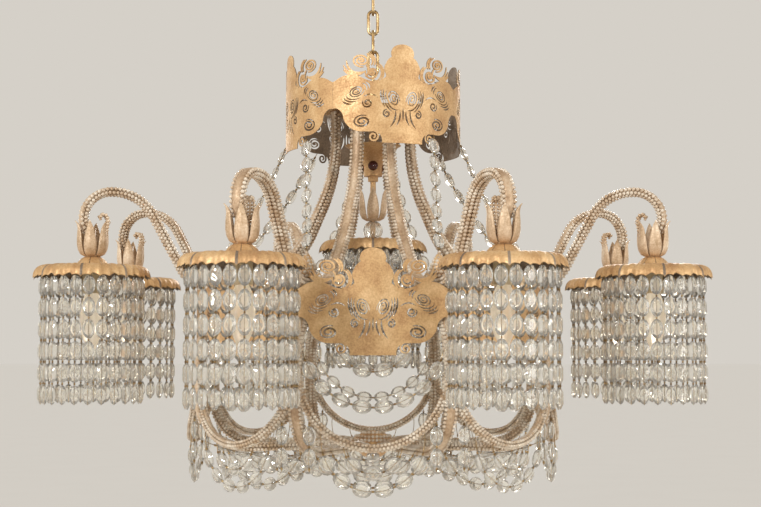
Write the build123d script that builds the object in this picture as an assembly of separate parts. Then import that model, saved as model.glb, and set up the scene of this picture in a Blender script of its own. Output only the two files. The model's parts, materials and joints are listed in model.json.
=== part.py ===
from build123d import *
from math import atan2, cos, degrees, radians, sin
import os

# Crystal chandelier: a pierced crown, eight beaded arms with crystal shades, a ninth shade in the
# middle, and a beaded basket with oval-crystal garlands, hung from a ceiling plate by a chain.
#
# Millimetres, +Z up, origin at the middle of the ceiling plate's top face. Heights h are counted
# from a level line LEVEL_DROP under the ceiling, and every piece is lowered by LEVEL_DROP when it
# is written. Azimuth 0 is the front, at -Y, and grows towards +X, so a piece that belongs at an
# azimuth is drawn at the front and then turned.

LEVEL_DROP = 650.0

# Layout of the whole
ARM_COUNT = 8
BAY = 360.0 / ARM_COUNT  # degrees between two arms
ARM_FIRST = BAY / 2  # azimuth of the first arm
SHADE_RADIUS = 450.0  # chandelier axis to the axis of an outer shade
CENTRE_SHADE_RISE = 51.0  # how far the middle shade hangs above the outer ones
CENTRE_LAMP_RISE = 41.0
CENTRE_TULIP_RISE = 70.0
GAP = 0.3  # running clearance between curved faces

# Ceiling plate and hook
PLATE_RADIUS = 50.0
PLATE_THICK = 6.0
PLATE_SCREW_CIRCLE = 76.0
PLATE_SCREW_RADIUS = 2.75
BOSS_RADIUS = 10.0
BOSS_HEIGHT = 8.0
HOOK_WIRE_RADIUS = 3.0
HOOK_BEND_RADIUS = 10.0

# Chain
LINK_COUNT = 4
LINK_LENGTH = 43.3
LINK_WIDTH = 20.0
LINK_WIRE_RADIUS = 2.5
LINK_PITCH = LINK_LENGTH - 4 * LINK_WIRE_RADIUS - GAP
FIRST_LINK_H = 578.5

# Stem and what it carries
STEM_TOP_H = 412.0
STEM_STEP_H = 297.0
STEM_RADIUS = 7.0
STEM_ROD_RADIUS = 4.5
WIRE_WAY_RADIUS = 2.5
COLLAR_RADIUS = 10.0
HUB_RADIUS = 72.0
HUB_UNDER_H = 398.0
HUB_THICK = 5.0
BRACKET_THICK = 3.0
BRACKET_WIDTH = 20.0
GLAND_OFFSET = 58.0
BALL_RADIUS = 16.0
BALL_H = CENTRE_SHADE_RISE + 141.0 + BALL_RADIUS
SHEET = 1.5

# Pierced panels: the same panel, bent to two radii
PANEL_HALF = 109.8
PANEL_TOP = 152.0
RING_RADIUS = 279.0
RING_PANELS = 8
RING_BOTTOM_H = 8.0
CROWN_RADIUS = 140.0
CROWN_PANELS = 4
CROWN_BOTTOM_H = 330.0
CROWN_TURN = 19.0  # azimuth of the first crown panel's middle

# Beaded bands
BAND_WIDTH = 22.0
BAND_DEPTH = 14.0
HOOP_WIDTH = 14.0
BEAD_ROW_RADIUS = 3.0
ARM_LOW_H = 112.0  # middle of the arm's band where it passes over the ring
BUD_BASE_H = ARM_LOW_H + BAND_DEPTH / 2

# Shade: tulip, canopy, lamp holder, bulb and curtain
TULIP_BASE_H = 154.0
TULIP_PETALS = 6
CANOPY_UNDER_H = 139.5
CANOPY_FLAT_RADIUS = 76.0
CANOPY_RADIUS = 87.0
HOLDER_TOP_H = 146.0
HOLDER_BORE_RADIUS = 7.3
BULB_CAP_RADIUS = 7.0
BULB_RADIUS = 17.5
CURTAIN_RADIUS = 73.0
STRINGS = 24
STRING_CRYSTALS = 5
CRYSTAL_WIDTH = 17.0
CRYSTAL_LENGTH = 28.0
CRYSTAL_THICK = 7.0
CRYSTAL_PITCH = 31.5
FIRST_CRYSTAL_H = 109.0
PENDANT_WIDTH = 15.0
WIRE_RADIUS = 0.8

# Garlands
OVAL_LENGTH = 28.0
OVAL_WIDTH = 20.0
OVAL_THICK = 8.0
OVAL_PITCH = 31.0
OVAL_SIDES = 12
SWAG_BITE = 1.5  # how far a strand's end pin reaches into what it hangs on

# Basket
RIB_TOP_RADIUS = 265.0
RIB_TOP_H = 105.0
RIB_FOOT_H = -131.0
BOSS_APOTHEM = 36.0
HOOP_BOTTOM_RADIUS = 284.0
HOOP_END_H = -50.0
HOOP_BOTTOM_H = -122.0
BUD_RADIUS = 16.0
BUD_HEIGHT = 40.0
BUD_AXIS_RADIUS = 250.0

os.makedirs("parts", exist_ok=True)


def turned(shape, azimuth):
    """The shape turned about the chandelier's axis."""
    return Rot(0, 0, azimuth) * shape


def all_round(shape, count=ARM_COUNT, first=ARM_FIRST):
    """Copies of the shape at equal steps round the axis."""
    return [turned(shape, first + k * 360.0 / count) for k in range(count)]


def front(rho, h, azimuth=0.0):
    """A point at a radius, a height and an azimuth."""
    return Vector(rho * sin(radians(azimuth)), -rho * cos(radians(azimuth)), h)


def write(name, pieces):
    """Lower the pieces to their place under the ceiling and write them as one node."""
    placed = [solid for piece in pieces for solid in (Pos(0, 0, -LEVEL_DROP) * piece).solids()]
    export_step(Compound(label=name, children=placed), f"parts/{name}.step")


def spun(*edges):
    """A solid of revolution about the axis, from an outline in radius and height."""
    return revolve(Plane.XZ * make_face(Curve() + list(edges)), Axis.Z)


def cap(rim_radius, rim_h, pole_h):
    """A round arc centred on the axis, from a rim to the pole."""
    centre = (rim_radius**2 + rim_h**2 - pole_h**2) / (2 * (rim_h - pole_h))
    reach = pole_h - centre
    half = atan2(rim_radius, (rim_h - centre) * (1 if reach > 0 else -1)) / 2
    middle = (abs(reach) * sin(half), centre + reach * cos(half))
    return ThreePointArc((rim_radius, rim_h), middle, (0, pole_h))


def tube(radius, bore, low, high):
    """An upright ring or tube between two heights."""
    return extrude(Pos(0, 0, low) * (Circle(radius) - Circle(bore)), amount=high - low)


def hex_nut(across_flats, bore, low, high):
    """A hexagon nut round the stem."""
    face = RegularPolygon(across_flats / 2, 6, major_radius=False) - Circle(bore)
    return extrude(Pos(0, 0, low) * face, amount=high - low)


def rod(route, radius):
    """A round wire along a route."""
    return sweep(Plane(origin=route @ 0, z_dir=route % 0) * Circle(radius), path=route)


def band(route, across, width, depth):
    """A beaded band along a route: a flat core with a row of beads on each of its four corners."""
    bead = BEAD_ROW_RADIUS
    section = Rectangle(width - 2 * bead, depth - bead)
    for x in (bead - width / 2, width / 2 - bead):
        for y in (bead - depth / 2, depth / 2 - bead):
            section += Pos(x, y) * Circle(bead)
    return sweep(Plane(origin=route @ 0, x_dir=across, z_dir=route % 0) * section, path=route)


# ---------------------------------------------------------------- hanging gear


def ceiling_plate():
    """A round plate with four screw holes and a boss that takes the hook's shank."""
    under = LEVEL_DROP - PLATE_THICK
    plate = extrude(Pos(0, 0, under) * Circle(PLATE_RADIUS), amount=PLATE_THICK)
    screw = Pos(PLATE_SCREW_CIRCLE / 2, 0, LEVEL_DROP) * Cylinder(PLATE_SCREW_RADIUS, 3 * PLATE_THICK)
    plate -= all_round(screw, 4, 45.0)
    return plate + tube(BOSS_RADIUS, HOOK_WIRE_RADIUS + GAP, under - BOSS_HEIGHT, under)


def ceiling_hook():
    """An open hook of round wire, whose shank ends on the plate inside the boss."""
    link_inside_h = FIRST_LINK_H + LINK_LENGTH / 2 - 2 * LINK_WIRE_RADIUS
    loop_h = link_inside_h - GAP - HOOK_WIRE_RADIUS + HOOK_BEND_RADIUS
    r = HOOK_BEND_RADIUS
    shank = FilletPolyline(
        (0, 0, LEVEL_DROP - PLATE_THICK),
        (0, 0, loop_h + 2.2 * r),
        (-r, 0, loop_h + r),
        (-r, 0, loop_h),
        radius=8.0,
    )
    bend = ThreePointArc((-r, 0, loop_h), (0, 0, loop_h - r), (r, 0, loop_h))
    tip = Line((r, 0, loop_h), (r, 0, loop_h + r / 2))
    return rod(Wire([*shank.edges(), bend, tip]), HOOK_WIRE_RADIUS)


def oval_link():
    """A chain link in the X-Z plane, centred on the origin."""
    r = LINK_WIDTH / 2 - LINK_WIRE_RADIUS
    half = LINK_LENGTH / 2 - LINK_WIRE_RADIUS - r
    route = Wire(
        [
            Line((r, 0, -half), (r, 0, half)),
            ThreePointArc((r, 0, half), (0, 0, half + r), (-r, 0, half)),
            Line((-r, 0, half), (-r, 0, -half)),
            ThreePointArc((-r, 0, -half), (0, 0, -half - r), (r, 0, -half)),
        ]
    )
    return rod(route, LINK_WIRE_RADIUS)


def link_h(index):
    """Height of a link's centre; the first link hangs on the hook."""
    return FIRST_LINK_H - index * LINK_PITCH


def chain_link(index):
    """One link of the chain: the first lies in the Y-Z plane, the next across it, and so on."""
    return Pos(0, 0, link_h(index)) * turned(oval_link(), 90.0 if index % 2 == 0 else 0.0)


def top_loop():
    """The loop that hangs in the last link, on a collar that closes the stem's top."""
    collar_top_h = link_h(LINK_COUNT) - LINK_LENGTH / 2 + 2 * LINK_WIRE_RADIUS
    collar = extrude(Pos(0, 0, STEM_TOP_H) * Circle(COLLAR_RADIUS), amount=collar_top_h - STEM_TOP_H)
    return chain_link(LINK_COUNT) + collar


# ---------------------------------------------------------------- stem


def stem_tube():
    """The tube that everything hangs on: thick down to the cup, thin below it, hollow all through."""
    thin_low_h = CENTRE_LAMP_RISE + HOLDER_TOP_H
    thick = tube(STEM_RADIUS, WIRE_WAY_RADIUS, STEM_STEP_H, STEM_TOP_H)
    return thick + tube(STEM_ROD_RADIUS, WIRE_WAY_RADIUS, thin_low_h, STEM_STEP_H)


def stem_nuts():
    """Three nuts: over the bracket, under the hub, and under the cup."""
    hub_top_h = HUB_UNDER_H + HUB_THICK
    return [
        hex_nut(24, STEM_RADIUS + GAP, hub_top_h + BRACKET_THICK, STEM_TOP_H - 1),
        hex_nut(24, STEM_RADIUS + GAP, HUB_UNDER_H - 8, HUB_UNDER_H),
        hex_nut(14, STEM_ROD_RADIUS + GAP, STEM_STEP_H - 10, STEM_STEP_H - SHEET),
    ]


def gland_spot(h):
    """Where the cord gland stands on the hub, between two arms and two legs of the bracket."""
    return Pos(0, -GLAND_OFFSET, h)


def arm_hub():
    """The disc that the arms' upper ends are fixed under."""
    disc = tube(HUB_RADIUS, STEM_RADIUS + GAP, HUB_UNDER_H, HUB_UNDER_H + HUB_THICK)
    return disc - gland_spot(HUB_UNDER_H) * Cylinder(5.2, 4 * HUB_THICK)


def cord_gland():
    """A flanged bush in the hub that the supply cord would pass through."""
    low = HUB_UNDER_H - 3
    hub_top_h = HUB_UNDER_H + HUB_THICK
    barrel = tube(5.0, 3.2, low, hub_top_h)
    flange = tube(8.0, 3.2, hub_top_h, hub_top_h + 3)
    return gland_spot(0) * (barrel + flange)


def crown_bracket():
    """A flat cross on the hub that reaches the crown's inner face between its cartouches."""
    low = HUB_UNDER_H + HUB_THICK
    bar = Box(2 * CROWN_RADIUS, BRACKET_WIDTH, BRACKET_THICK)
    cross = Pos(0, 0, low + BRACKET_THICK / 2) * (bar + turned(bar, 90.0))
    cross &= tube(CROWN_RADIUS - SHEET - 0.05, STEM_RADIUS + GAP, low, low + BRACKET_THICK)
    return turned(cross, CROWN_TURN + 45.0)


CUP_BASE_RADIUS = 15.0
CUP_MOUTH_RADIUS = 45.0
CUP_MOUTH_H = 345.0


def cup_side(inset):
    """The cup's flare, from its base to its mouth, moved inwards by an inset."""
    low = (CUP_BASE_RADIUS - inset, STEM_STEP_H)
    middle = (22.0 - inset, STEM_STEP_H + 26)
    return ThreePointArc(low, middle, (CUP_MOUTH_RADIUS - inset, CUP_MOUTH_H))


def stem_cup():
    """The bell-shaped cup that stands on the stem's shoulder, mouth up."""
    hole = STEM_ROD_RADIUS + GAP
    base_h = STEM_STEP_H - SHEET
    base = tube(CUP_BASE_RADIUS, hole, base_h, STEM_STEP_H)
    outer = cup_side(0.0)
    inner = cup_side(SHEET)
    return base + spun(outer, inner, Line(outer @ 0, inner @ 0), Line(outer @ 1, inner @ 1))


def cup_gem():
    """A round gem on the cup's front, shaped to its flare."""
    side = cup_side(0.0)
    low = Line((0, STEM_STEP_H), side @ 0)
    high = Line((0, CUP_MOUTH_H), side @ 1)
    filled = spun(side, low, high, Line((0, STEM_STEP_H), (0, CUP_MOUTH_H)))
    return Pos(0, -17.5, STEM_STEP_H + 14) * Sphere(8.0) - filled


def centre_ball():
    """The crystal ball over the middle canopy, threaded on the stem."""
    ball = Pos(0, 0, BALL_H) * Sphere(BALL_RADIUS)
    return ball - Pos(0, 0, BALL_H) * Cylinder(STEM_ROD_RADIUS + GAP, 3 * BALL_RADIUS)


# ---------------------------------------------------------------- pierced panels


def panel_face(radius):
    """A panel's outline and piercings seen from the front, for bending to a radius.

    Half of it is drawn along the sheet, with lengths s from the middle line and heights y from the
    lower edge, and mirrored.
    """

    def at(s, y):
        return (radius * sin(s / radius), y)

    edge = PANEL_HALF + 2.0
    lower = [
        Line(at(0, 0), at(33, 0)),
        ThreePointArc(at(33, 0), at(35, 11), at(44, 17)),
        Line(at(44, 17), at(62, 17)),
        ThreePointArc(at(62, 17), at(80, 22), at(92, 36)),
        ThreePointArc(at(92, 36), at(96, 48), at(104, 54)),
        Line(at(104, 54), at(edge, 54)),
    ]
    upper = [
        Line(at(edge, 54), at(edge, 92)),
        Line(at(edge, 92), at(104, 92)),
        ThreePointArc(at(104, 92), at(82, 103), at(60, 98)),
        ThreePointArc(at(60, 98), at(47, 94), at(34, 94)),
        ThreePointArc(at(34, 94), at(28, 98), at(27, 106)),
        ThreePointArc(at(27, 106), at(29, 120), at(20, 130)),
        ThreePointArc(at(20, 130), at(14, 146), at(0, PANEL_TOP)),
    ]
    half = make_face(Curve() + lower + upper + [Line(at(0, PANEL_TOP), at(0, 0))])

    # Scrolls that stand above the edge
    half += Pos(*at(48, 104)) * (Circle(12))
    half += Pos(*at(66, 120)) * Rot(0, 0, 20) * Ellipse(14, 10)
    half += Pos(*at(82, 108)) * Rot(0, 0, -35) * Ellipse(15, 6)
    half -= Pos(*at(48, 104)) * Circle(5)
    half -= Pos(*at(66, 120)) * Rot(0, 0, 20) * Ellipse(7, 4)

    # Spiral piercings: palmette, its curls, the side scrolls and the lower scroll
    spirals = [(13, 68, 8), (24, 44, 6), (71, 78, 10), (60, 60, 6), (62, 33, 8)]
    for s, y, size in spirals:
        half -= Pos(*at(s, y)) * SlotArc(CenterArc((0, 0), size, 60, 285), 2.0)
    return half + mirror(half, Plane.YZ)


def panel(radius, count, bottom_h):
    """A pierced panel bent to a radius, standing at the front."""
    sector = 360.0 / count
    high = PANEL_TOP + 2.0
    wall = Pos(radius - SHEET / 2, bottom_h + high / 2) * Rectangle(SHEET, high + 2.0)
    shell = turned(revolve(Plane.XZ * wall, Axis.Z, sector), -90.0 - sector / 2)
    return shell & extrude(Plane.XZ * (Pos(0, bottom_h) * panel_face(radius)), amount=radius + 10)


# ---------------------------------------------------------------- arms and shades


def arm():
    """An S-shaped beaded band from the hub over the ring and into the tulip, with its wiring tube."""
    route = FilletPolyline(
        front(64, HUB_UNDER_H),
        front(64, 296),
        front(112, 195),
        front(172, ARM_LOW_H),
        front(300, ARM_LOW_H),
        front(378, 252),
        front(464, 252),
        front(464, 204),
        front(454, 186),
        radius=[240.0, 150.0, 60.0, 55.0, 68.0, 42.0, 18.0],
    )
    beaded = band(route, (1, 0, 0), BAND_WIDTH, BAND_DEPTH)
    return beaded + Pos(0, -SHADE_RADIUS, 0) * tube(STEM_ROD_RADIUS, WIRE_WAY_RADIUS, HOLDER_TOP_H, 196)


def arm_bud():
    """The beaded bud on the arm's low bend."""
    belly = ThreePointArc((BUD_RADIUS - 3, BUD_BASE_H), (BUD_RADIUS, BUD_BASE_H + 12), (11, BUD_BASE_H + 28))
    body = spun(
        belly,
        cap(11, BUD_BASE_H + 28, BUD_BASE_H + BUD_HEIGHT),
        Line((0, BUD_BASE_H + BUD_HEIGHT), (0, BUD_BASE_H)),
        Line((0, BUD_BASE_H), (BUD_RADIUS - 3, BUD_BASE_H)),
    )
    return Pos(0, -BUD_AXIS_RADIUS, 0) * body


def tulip():
    """A six-petalled metal tulip round the wiring tube, on the axis."""
    base = TULIP_BASE_H
    wall = 1.2
    belly = ThreePointArc((11, base + wall), (20.5, base + 14), (24, base + 34))
    lip = ThreePointArc((24, base + 34), (23, base + 44), (26, base + 54))
    inner_lip = ThreePointArc((26 - wall, base + 54), (23 - wall, base + 44), (24 - wall, base + 34))
    inner_belly = ThreePointArc((24 - wall, base + 34), (20.5 - wall, base + 14.5), (11 - wall, base + wall))
    shell = spun(belly, lip, Line(lip @ 1, inner_lip @ 0), inner_lip, inner_belly, Line(inner_belly @ 1, belly @ 0))
    cut = Plane.XZ * Polygon(
        (0, base + 8),
        (0.6, base + 30),
        (12.6, base + 56),
        (-12.6, base + 56),
        (-0.6, base + 30),
        align=None,
    )
    shell -= all_round(Pos(0, -4, 0) * extrude(cut, amount=30), TULIP_PETALS, 0.0)
    return shell + tube(11.0, STEM_ROD_RADIUS + GAP, base, base + wall)


def canopy(domed):
    """A leafy canopy on the axis: a flat disc with a drooping, lobed rim, domed for the outer ones."""
    under = CANOPY_UNDER_H
    top = under + SHEET
    hole = STEM_ROD_RADIUS + GAP
    flat = CANOPY_FLAT_RADIUS
    rim_h = under - 11.5
    droop = ThreePointArc((flat, top), (flat + 7, top - 4), (CANOPY_RADIUS, rim_h))
    under_droop = ThreePointArc((CANOPY_RADIUS - SHEET, rim_h), (flat + 5.8, under - 4), (flat, under))
    lip = Line((CANOPY_RADIUS, rim_h), (CANOPY_RADIUS - SHEET, rim_h))
    if domed:
        neck_h = TULIP_BASE_H
        edges = [
            Line((hole, neck_h), (10, neck_h)),
            ThreePointArc((10, neck_h), (18, neck_h - 4.5), (22, top)),
            Line((22, top), (flat, top)),
            droop,
            lip,
            under_droop,
            Line((flat, under), (20.5, under)),
            ThreePointArc((20.5, under), (17, neck_h - 5.6), (10, neck_h - SHEET)),
            Line((10, neck_h - SHEET), (hole, neck_h - SHEET)),
            Line((hole, neck_h - SHEET), (hole, neck_h)),
        ]
    else:
        edges = [
            Line((hole, top), (flat, top)),
            droop,
            lip,
            under_droop,
            Line((flat, under), (hole, under)),
            Line((hole, under), (hole, top)),
        ]
    notch = Pos(0, -CANOPY_RADIUS - 1, rim_h - 1) * Cylinder(3.2, 12)
    return spun(*edges) - all_round(notch, 16, 0.0)


def lamp_holder():
    """The holder under the canopy, open below for the bulb's cap."""
    body = tube(14.0, HOLDER_BORE_RADIUS, 100.0, 126.0) + tube(14.0, 1.5, 126.0, 140.0)
    return body + tube(8.0, 1.5, 140.0, HOLDER_TOP_H)


def bulb():
    """A candle bulb, cap up, glass down."""
    cap_top = 124.0
    shoulder = 100.0 - GAP
    side = ThreePointArc((9, shoulder), (BULB_RADIUS, 68), (8, 24))
    nose = cap(8, 24, 15)
    return spun(
        Line((0, cap_top), (BULB_CAP_RADIUS, cap_top)),
        Line((BULB_CAP_RADIUS, cap_top), (BULB_CAP_RADIUS, shoulder)),
        Line((BULB_CAP_RADIUS, shoulder), (9, shoulder)),
        side,
        nose,
        Line((0, 15), (0, cap_top)),
    )


def flat_oval(plane, width, length, thick):
    """A flat cut oval with a straight-sided rim of OVAL_SIDES facets, its length along the plane's Y."""
    turns = [radians(360.0 * k / OVAL_SIDES) for k in range(OVAL_SIDES)]
    rim = Polygon(*[(width / 2 * cos(a), length / 2 * sin(a)) for a in turns], align=None)
    return extrude(plane * rim, amount=thick / 2, both=True)


def curtain():
    """The crystal strings of one shade, on the axis."""
    low = FIRST_CRYSTAL_H - STRING_CRYSTALS * CRYSTAL_PITCH
    string = extrude(Pos(0, -CURTAIN_RADIUS, low) * Circle(WIRE_RADIUS), amount=CANOPY_UNDER_H - low)
    for row in range(STRING_CRYSTALS + 1):
        width = CRYSTAL_WIDTH if row < STRING_CRYSTALS else PENDANT_WIDTH
        middle = front(CURTAIN_RADIUS, FIRST_CRYSTAL_H - row * CRYSTAL_PITCH)
        spot = Plane(origin=middle, x_dir=(1, 0, 0), z_dir=(0, -1, 0))
        string += flat_oval(spot, width, CRYSTAL_LENGTH, CRYSTAL_THICK)
    return all_round(string, STRINGS, 0.0)


# ---------------------------------------------------------------- basket


def rib():
    """A beaded rib from under the arm, out through the ring's arch and in to the bottom boss."""
    route = FilletPolyline(
        front(RIB_TOP_RADIUS, RIB_TOP_H),
        front(RIB_TOP_RADIUS, 62),
        front(284, 30),
        front(285, RIB_FOOT_H),
        front(BOSS_APOTHEM, RIB_FOOT_H),
        radius=[38.0, 60.0, 72.0],
    )
    return band(route, (1, 0, 0), BAND_WIDTH, BAND_DEPTH)


def ring_spacer():
    """The block between a rib and the ring."""
    inner = RIB_TOP_RADIUS + BAND_DEPTH / 2
    outer = RING_RADIUS - SHEET - 0.05
    block = Pos(0, -(inner + 10), 84) * Box(20, 20, 12)
    return block & extrude(Circle(outer), amount=200)


def hoop_route():
    """The middle line of the U between two ribs: a circular arc that leans outwards."""
    end = front(RIB_TOP_RADIUS + 19.5, HOOP_END_H, ARM_FIRST)
    side = turned(Vertex(BAND_WIDTH / 2 - 2.0, 0, 0), ARM_FIRST).center()
    right = end - side
    left = Vector(-right.X, right.Y, right.Z)
    return ThreePointArc(right, front(HOOP_BOTTOM_RADIUS, HOOP_BOTTOM_H), left)


def hoop():
    """A beaded U-shaped hoop whose ends stand flat on the ribs' sides."""
    route = hoop_route()
    u_band = band(route, route.normal(), HOOP_WIDTH, HOOP_WIDTH)
    for sign in (-1, 1):
        block = Pos(0, -300, -60) * Box(BAND_WIDTH, 120, 160)
        u_band -= turned(block, sign * ARM_FIRST)
    return u_band


def basket_boss():
    """The eight-sided boss that the ribs end on, with a low dome over and a bud under it."""
    low = RIB_FOOT_H - BAND_DEPTH / 2
    prism = extrude(Pos(0, 0, low) * RegularPolygon(BOSS_APOTHEM, 8, major_radius=False), amount=BAND_DEPTH)
    high = low + BAND_DEPTH
    dome = spun(
        cap(30, high, high + 15),
        Line((0, high + 15), (0, high)),
        Line((0, high), (30, high)),
    )
    knob = spun(
        cap(24, low, low - 16),
        Line((0, low - 16), (0, low)),
        Line((0, low), (24, low)),
    )
    return prism + dome + knob


# ---------------------------------------------------------------- garlands


def strand(route, count, facing=None):
    """Flat oval crystals on a wire along a route, spread evenly about its middle."""
    middle = route @ 0.5
    facing = facing or Vector(middle.X, middle.Y, 0)
    body = rod(route, WIRE_RADIUS)
    length = route.length
    for k in range(count):
        place = 0.5 + (k - (count - 1) / 2) * OVAL_PITCH / length
        along = route % place
        out = facing - along * facing.dot(along)
        spot = Plane(origin=route @ place, x_dir=out.cross(along), z_dir=out)
        body += flat_oval(spot, OVAL_WIDTH, OVAL_LENGTH, OVAL_THICK)
    print(f"strand of {count}: length {length:.1f}, free ends {(length - count * OVAL_PITCH) / 2:.1f}")
    return body


def crown_strand(crown_azimuth, arm_azimuth, start_h=CROWN_BOTTOM_H + 17 + SWAG_BITE):
    """From a lower scroll of the crown down to the top of an arm's bud."""
    start = front(CROWN_RADIUS - SHEET / 2, start_h, crown_azimuth)
    end = front(BUD_AXIS_RADIUS, BUD_BASE_H + BUD_HEIGHT - SWAG_BITE, arm_azimuth)
    middle = (start + end) / 2 + Vector(0, 0, -16)
    return strand(ThreePointArc(start, middle, end), 7)


# Each crown scroll and the azimuth of the arm that its strand runs to
CROWN_RUNS = [(42.0, 22.5), (86.0, 67.5), (132.0, 112.5), (170.0, 157.5)]


def ring_swag():
    """Under a ring panel, from one lower scroll to the other."""
    h = RING_BOTTOM_H + 17 + SWAG_BITE
    reach = degrees(56.0 / RING_RADIUS)
    start = front(RING_RADIUS - SHEET / 2, h, -reach)
    end = front(RING_RADIUS - SHEET / 2, h, reach)
    return strand(ThreePointArc(start, front(273, -15), end), 4)


def band_swag():
    """Across a bay, from rib to rib."""
    side = ARM_FIRST - degrees((BAND_WIDTH / 2 - SWAG_BITE) / 284.0)
    start = front(284, 15, -side)
    return strand(ThreePointArc(start, front(279, -65), front(284, 15, side)), 8)


def under_hoop(place):
    """A point just inside the hoop's outer bead row, at a share of its length."""
    route = hoop_route()
    out = (route @ place) - route.arc_center
    return (route @ place) + out.normalized() * (HOOP_WIDTH / 2 - SWAG_BITE)


def hoop_swag(place, bottom_h, count):
    """Under a hoop, between two points at equal shares from its ends."""
    start = under_hoop(place)
    end = under_hoop(1 - place)
    return strand(ThreePointArc(start, Vector(0, (start.Y + end.Y) / 2 - 2, bottom_h), end), count)


def hoop_drop(place):
    """A short drop of two ovals, straight down from a hoop."""
    top = hoop_route() @ place + Vector(0, 0, -12)
    return strand(Line(top, top + Vector(0, 0, -70)), 2)


def bowl_strand():
    """Along the bottom of the basket, from a hoop in to the boss."""
    start = front(HOOP_BOTTOM_RADIUS - HOOP_WIDTH / 2 + SWAG_BITE, HOOP_BOTTOM_H)
    end = front(BOSS_APOTHEM / cos(radians(ARM_FIRST)) - SWAG_BITE, RIB_FOOT_H)
    return strand(ThreePointArc(start, front(160, -150), end), 6, Vector(0, 0, 1))


# ---------------------------------------------------------------- write every node

write("ceiling_plate", [ceiling_plate()])
write("ceiling_hook", [ceiling_hook()])
for number in range(LINK_COUNT):
    write(f"chain_link_{number + 1}", [chain_link(number)])
write("top_loop", [top_loop()])
write("stem_tube", [stem_tube()])
write("stem_nuts", stem_nuts())
write("arm_hub", [arm_hub()])
write("cord_gland", [cord_gland()])
write("crown_bracket", [crown_bracket()])
write("stem_cup", [stem_cup()])
write("cup_gems", all_round(cup_gem(), 4, 0.0))
write("centre_ball", [centre_ball()])
write("crown_panels", all_round(panel(CROWN_RADIUS, CROWN_PANELS, CROWN_BOTTOM_H), CROWN_PANELS, CROWN_TURN))
write("ring_panels", all_round(panel(RING_RADIUS, RING_PANELS, RING_BOTTOM_H), RING_PANELS, 0.0))
write("ring_spacers", all_round(ring_spacer()))

one_arm = arm()
one_curtain = curtain()
one_bulb = bulb()
to_shade = Pos(0, -SHADE_RADIUS, 0)
for number in range(ARM_COUNT):
    azimuth = ARM_FIRST + number * BAY
    write(f"arm_{number + 1}", [turned(one_arm, azimuth)])
    write(f"curtain_{number + 1}", [turned(to_shade * string, azimuth) for string in one_curtain])
    write(f"bulb_{number + 1}", [turned(to_shade * one_bulb, azimuth)])
write("curtain_centre", [Pos(0, 0, CENTRE_SHADE_RISE) * string for string in one_curtain])
write("bulb_centre", [Pos(0, 0, CENTRE_LAMP_RISE) * one_bulb])
write("arm_buds", all_round(arm_bud()))
write("tulips", all_round(to_shade * tulip()) + [Pos(0, 0, CENTRE_TULIP_RISE) * tulip()])
write("canopies", all_round(to_shade * canopy(True)) + [Pos(0, 0, CENTRE_SHADE_RISE) * canopy(False)])
write("lamp_holders", all_round(to_shade * lamp_holder()) + [Pos(0, 0, CENTRE_LAMP_RISE) * lamp_holder()])

write("basket_ribs", all_round(rib()))
write("basket_hoops", all_round(hoop(), ARM_COUNT, 0.0))
write("basket_boss", [basket_boss()])
right_runs = [crown_strand(*run) for run in CROWN_RUNS]
left_runs = [crown_strand(-48.0, -22.5), crown_strand(-94.0, -67.5)]
left_runs += [crown_strand(-138.0, -112.5), crown_strand(-171.0, -157.5, CROWN_BOTTOM_H + SWAG_BITE)]
write("crown_strands", right_runs + left_runs)
write("ring_swags", all_round(ring_swag(), ARM_COUNT, 0.0))
write("band_swags", all_round(band_swag(), ARM_COUNT, 0.0))
write("hoop_outer_swags", all_round(hoop_swag(0.22, -182.0, 6), ARM_COUNT, 0.0))
write("hoop_inner_swags", all_round(hoop_swag(0.35, -157.0, 3), ARM_COUNT, 0.0))
write("hoop_drops", all_round(hoop_drop(0.1), ARM_COUNT, 0.0) + all_round(hoop_drop(0.9), ARM_COUNT, 0.0))
write("bowl_strands", all_round(bowl_strand(), ARM_COUNT, 0.0))
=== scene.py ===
"""Looks of the crystal chandelier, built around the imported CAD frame.

Lengths are millimetres while shapes are worked out, and metres in Blender. Heights h are counted
from a level line DROP under the ceiling, as in the part's source. Azimuth 0 is the front, at -Y,
and grows towards +X, so a piece that belongs at an azimuth is drawn at the front and then turned.
"""

import json
import logging
from dataclasses import dataclass, field
from enum import Enum
from math import atan, pi, radians
from typing import Any, Optional, Sequence

import bpy
import numpy as np
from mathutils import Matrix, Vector
from mathutils.geometry import delaunay_2d_cdt

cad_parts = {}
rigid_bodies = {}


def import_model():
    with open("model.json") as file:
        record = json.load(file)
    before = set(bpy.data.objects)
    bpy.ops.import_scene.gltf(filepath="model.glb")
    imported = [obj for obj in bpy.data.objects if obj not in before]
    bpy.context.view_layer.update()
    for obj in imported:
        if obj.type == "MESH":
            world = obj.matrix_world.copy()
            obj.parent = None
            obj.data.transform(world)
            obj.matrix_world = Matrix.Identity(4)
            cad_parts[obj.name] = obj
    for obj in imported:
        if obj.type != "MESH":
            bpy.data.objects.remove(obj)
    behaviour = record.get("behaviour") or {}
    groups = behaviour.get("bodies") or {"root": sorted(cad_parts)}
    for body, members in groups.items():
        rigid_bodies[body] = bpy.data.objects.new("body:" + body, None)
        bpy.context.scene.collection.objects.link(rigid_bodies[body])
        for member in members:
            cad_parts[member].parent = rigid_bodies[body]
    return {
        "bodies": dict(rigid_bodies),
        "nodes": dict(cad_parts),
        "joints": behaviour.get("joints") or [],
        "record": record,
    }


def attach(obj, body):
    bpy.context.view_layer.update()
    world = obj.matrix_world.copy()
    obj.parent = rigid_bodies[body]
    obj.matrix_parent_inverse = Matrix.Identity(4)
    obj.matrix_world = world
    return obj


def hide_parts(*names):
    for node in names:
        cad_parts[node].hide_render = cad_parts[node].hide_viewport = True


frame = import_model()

Array = np.ndarray
Socket = bpy.types.NodeSocket
log = logging.getLogger("chandelier")

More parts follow.
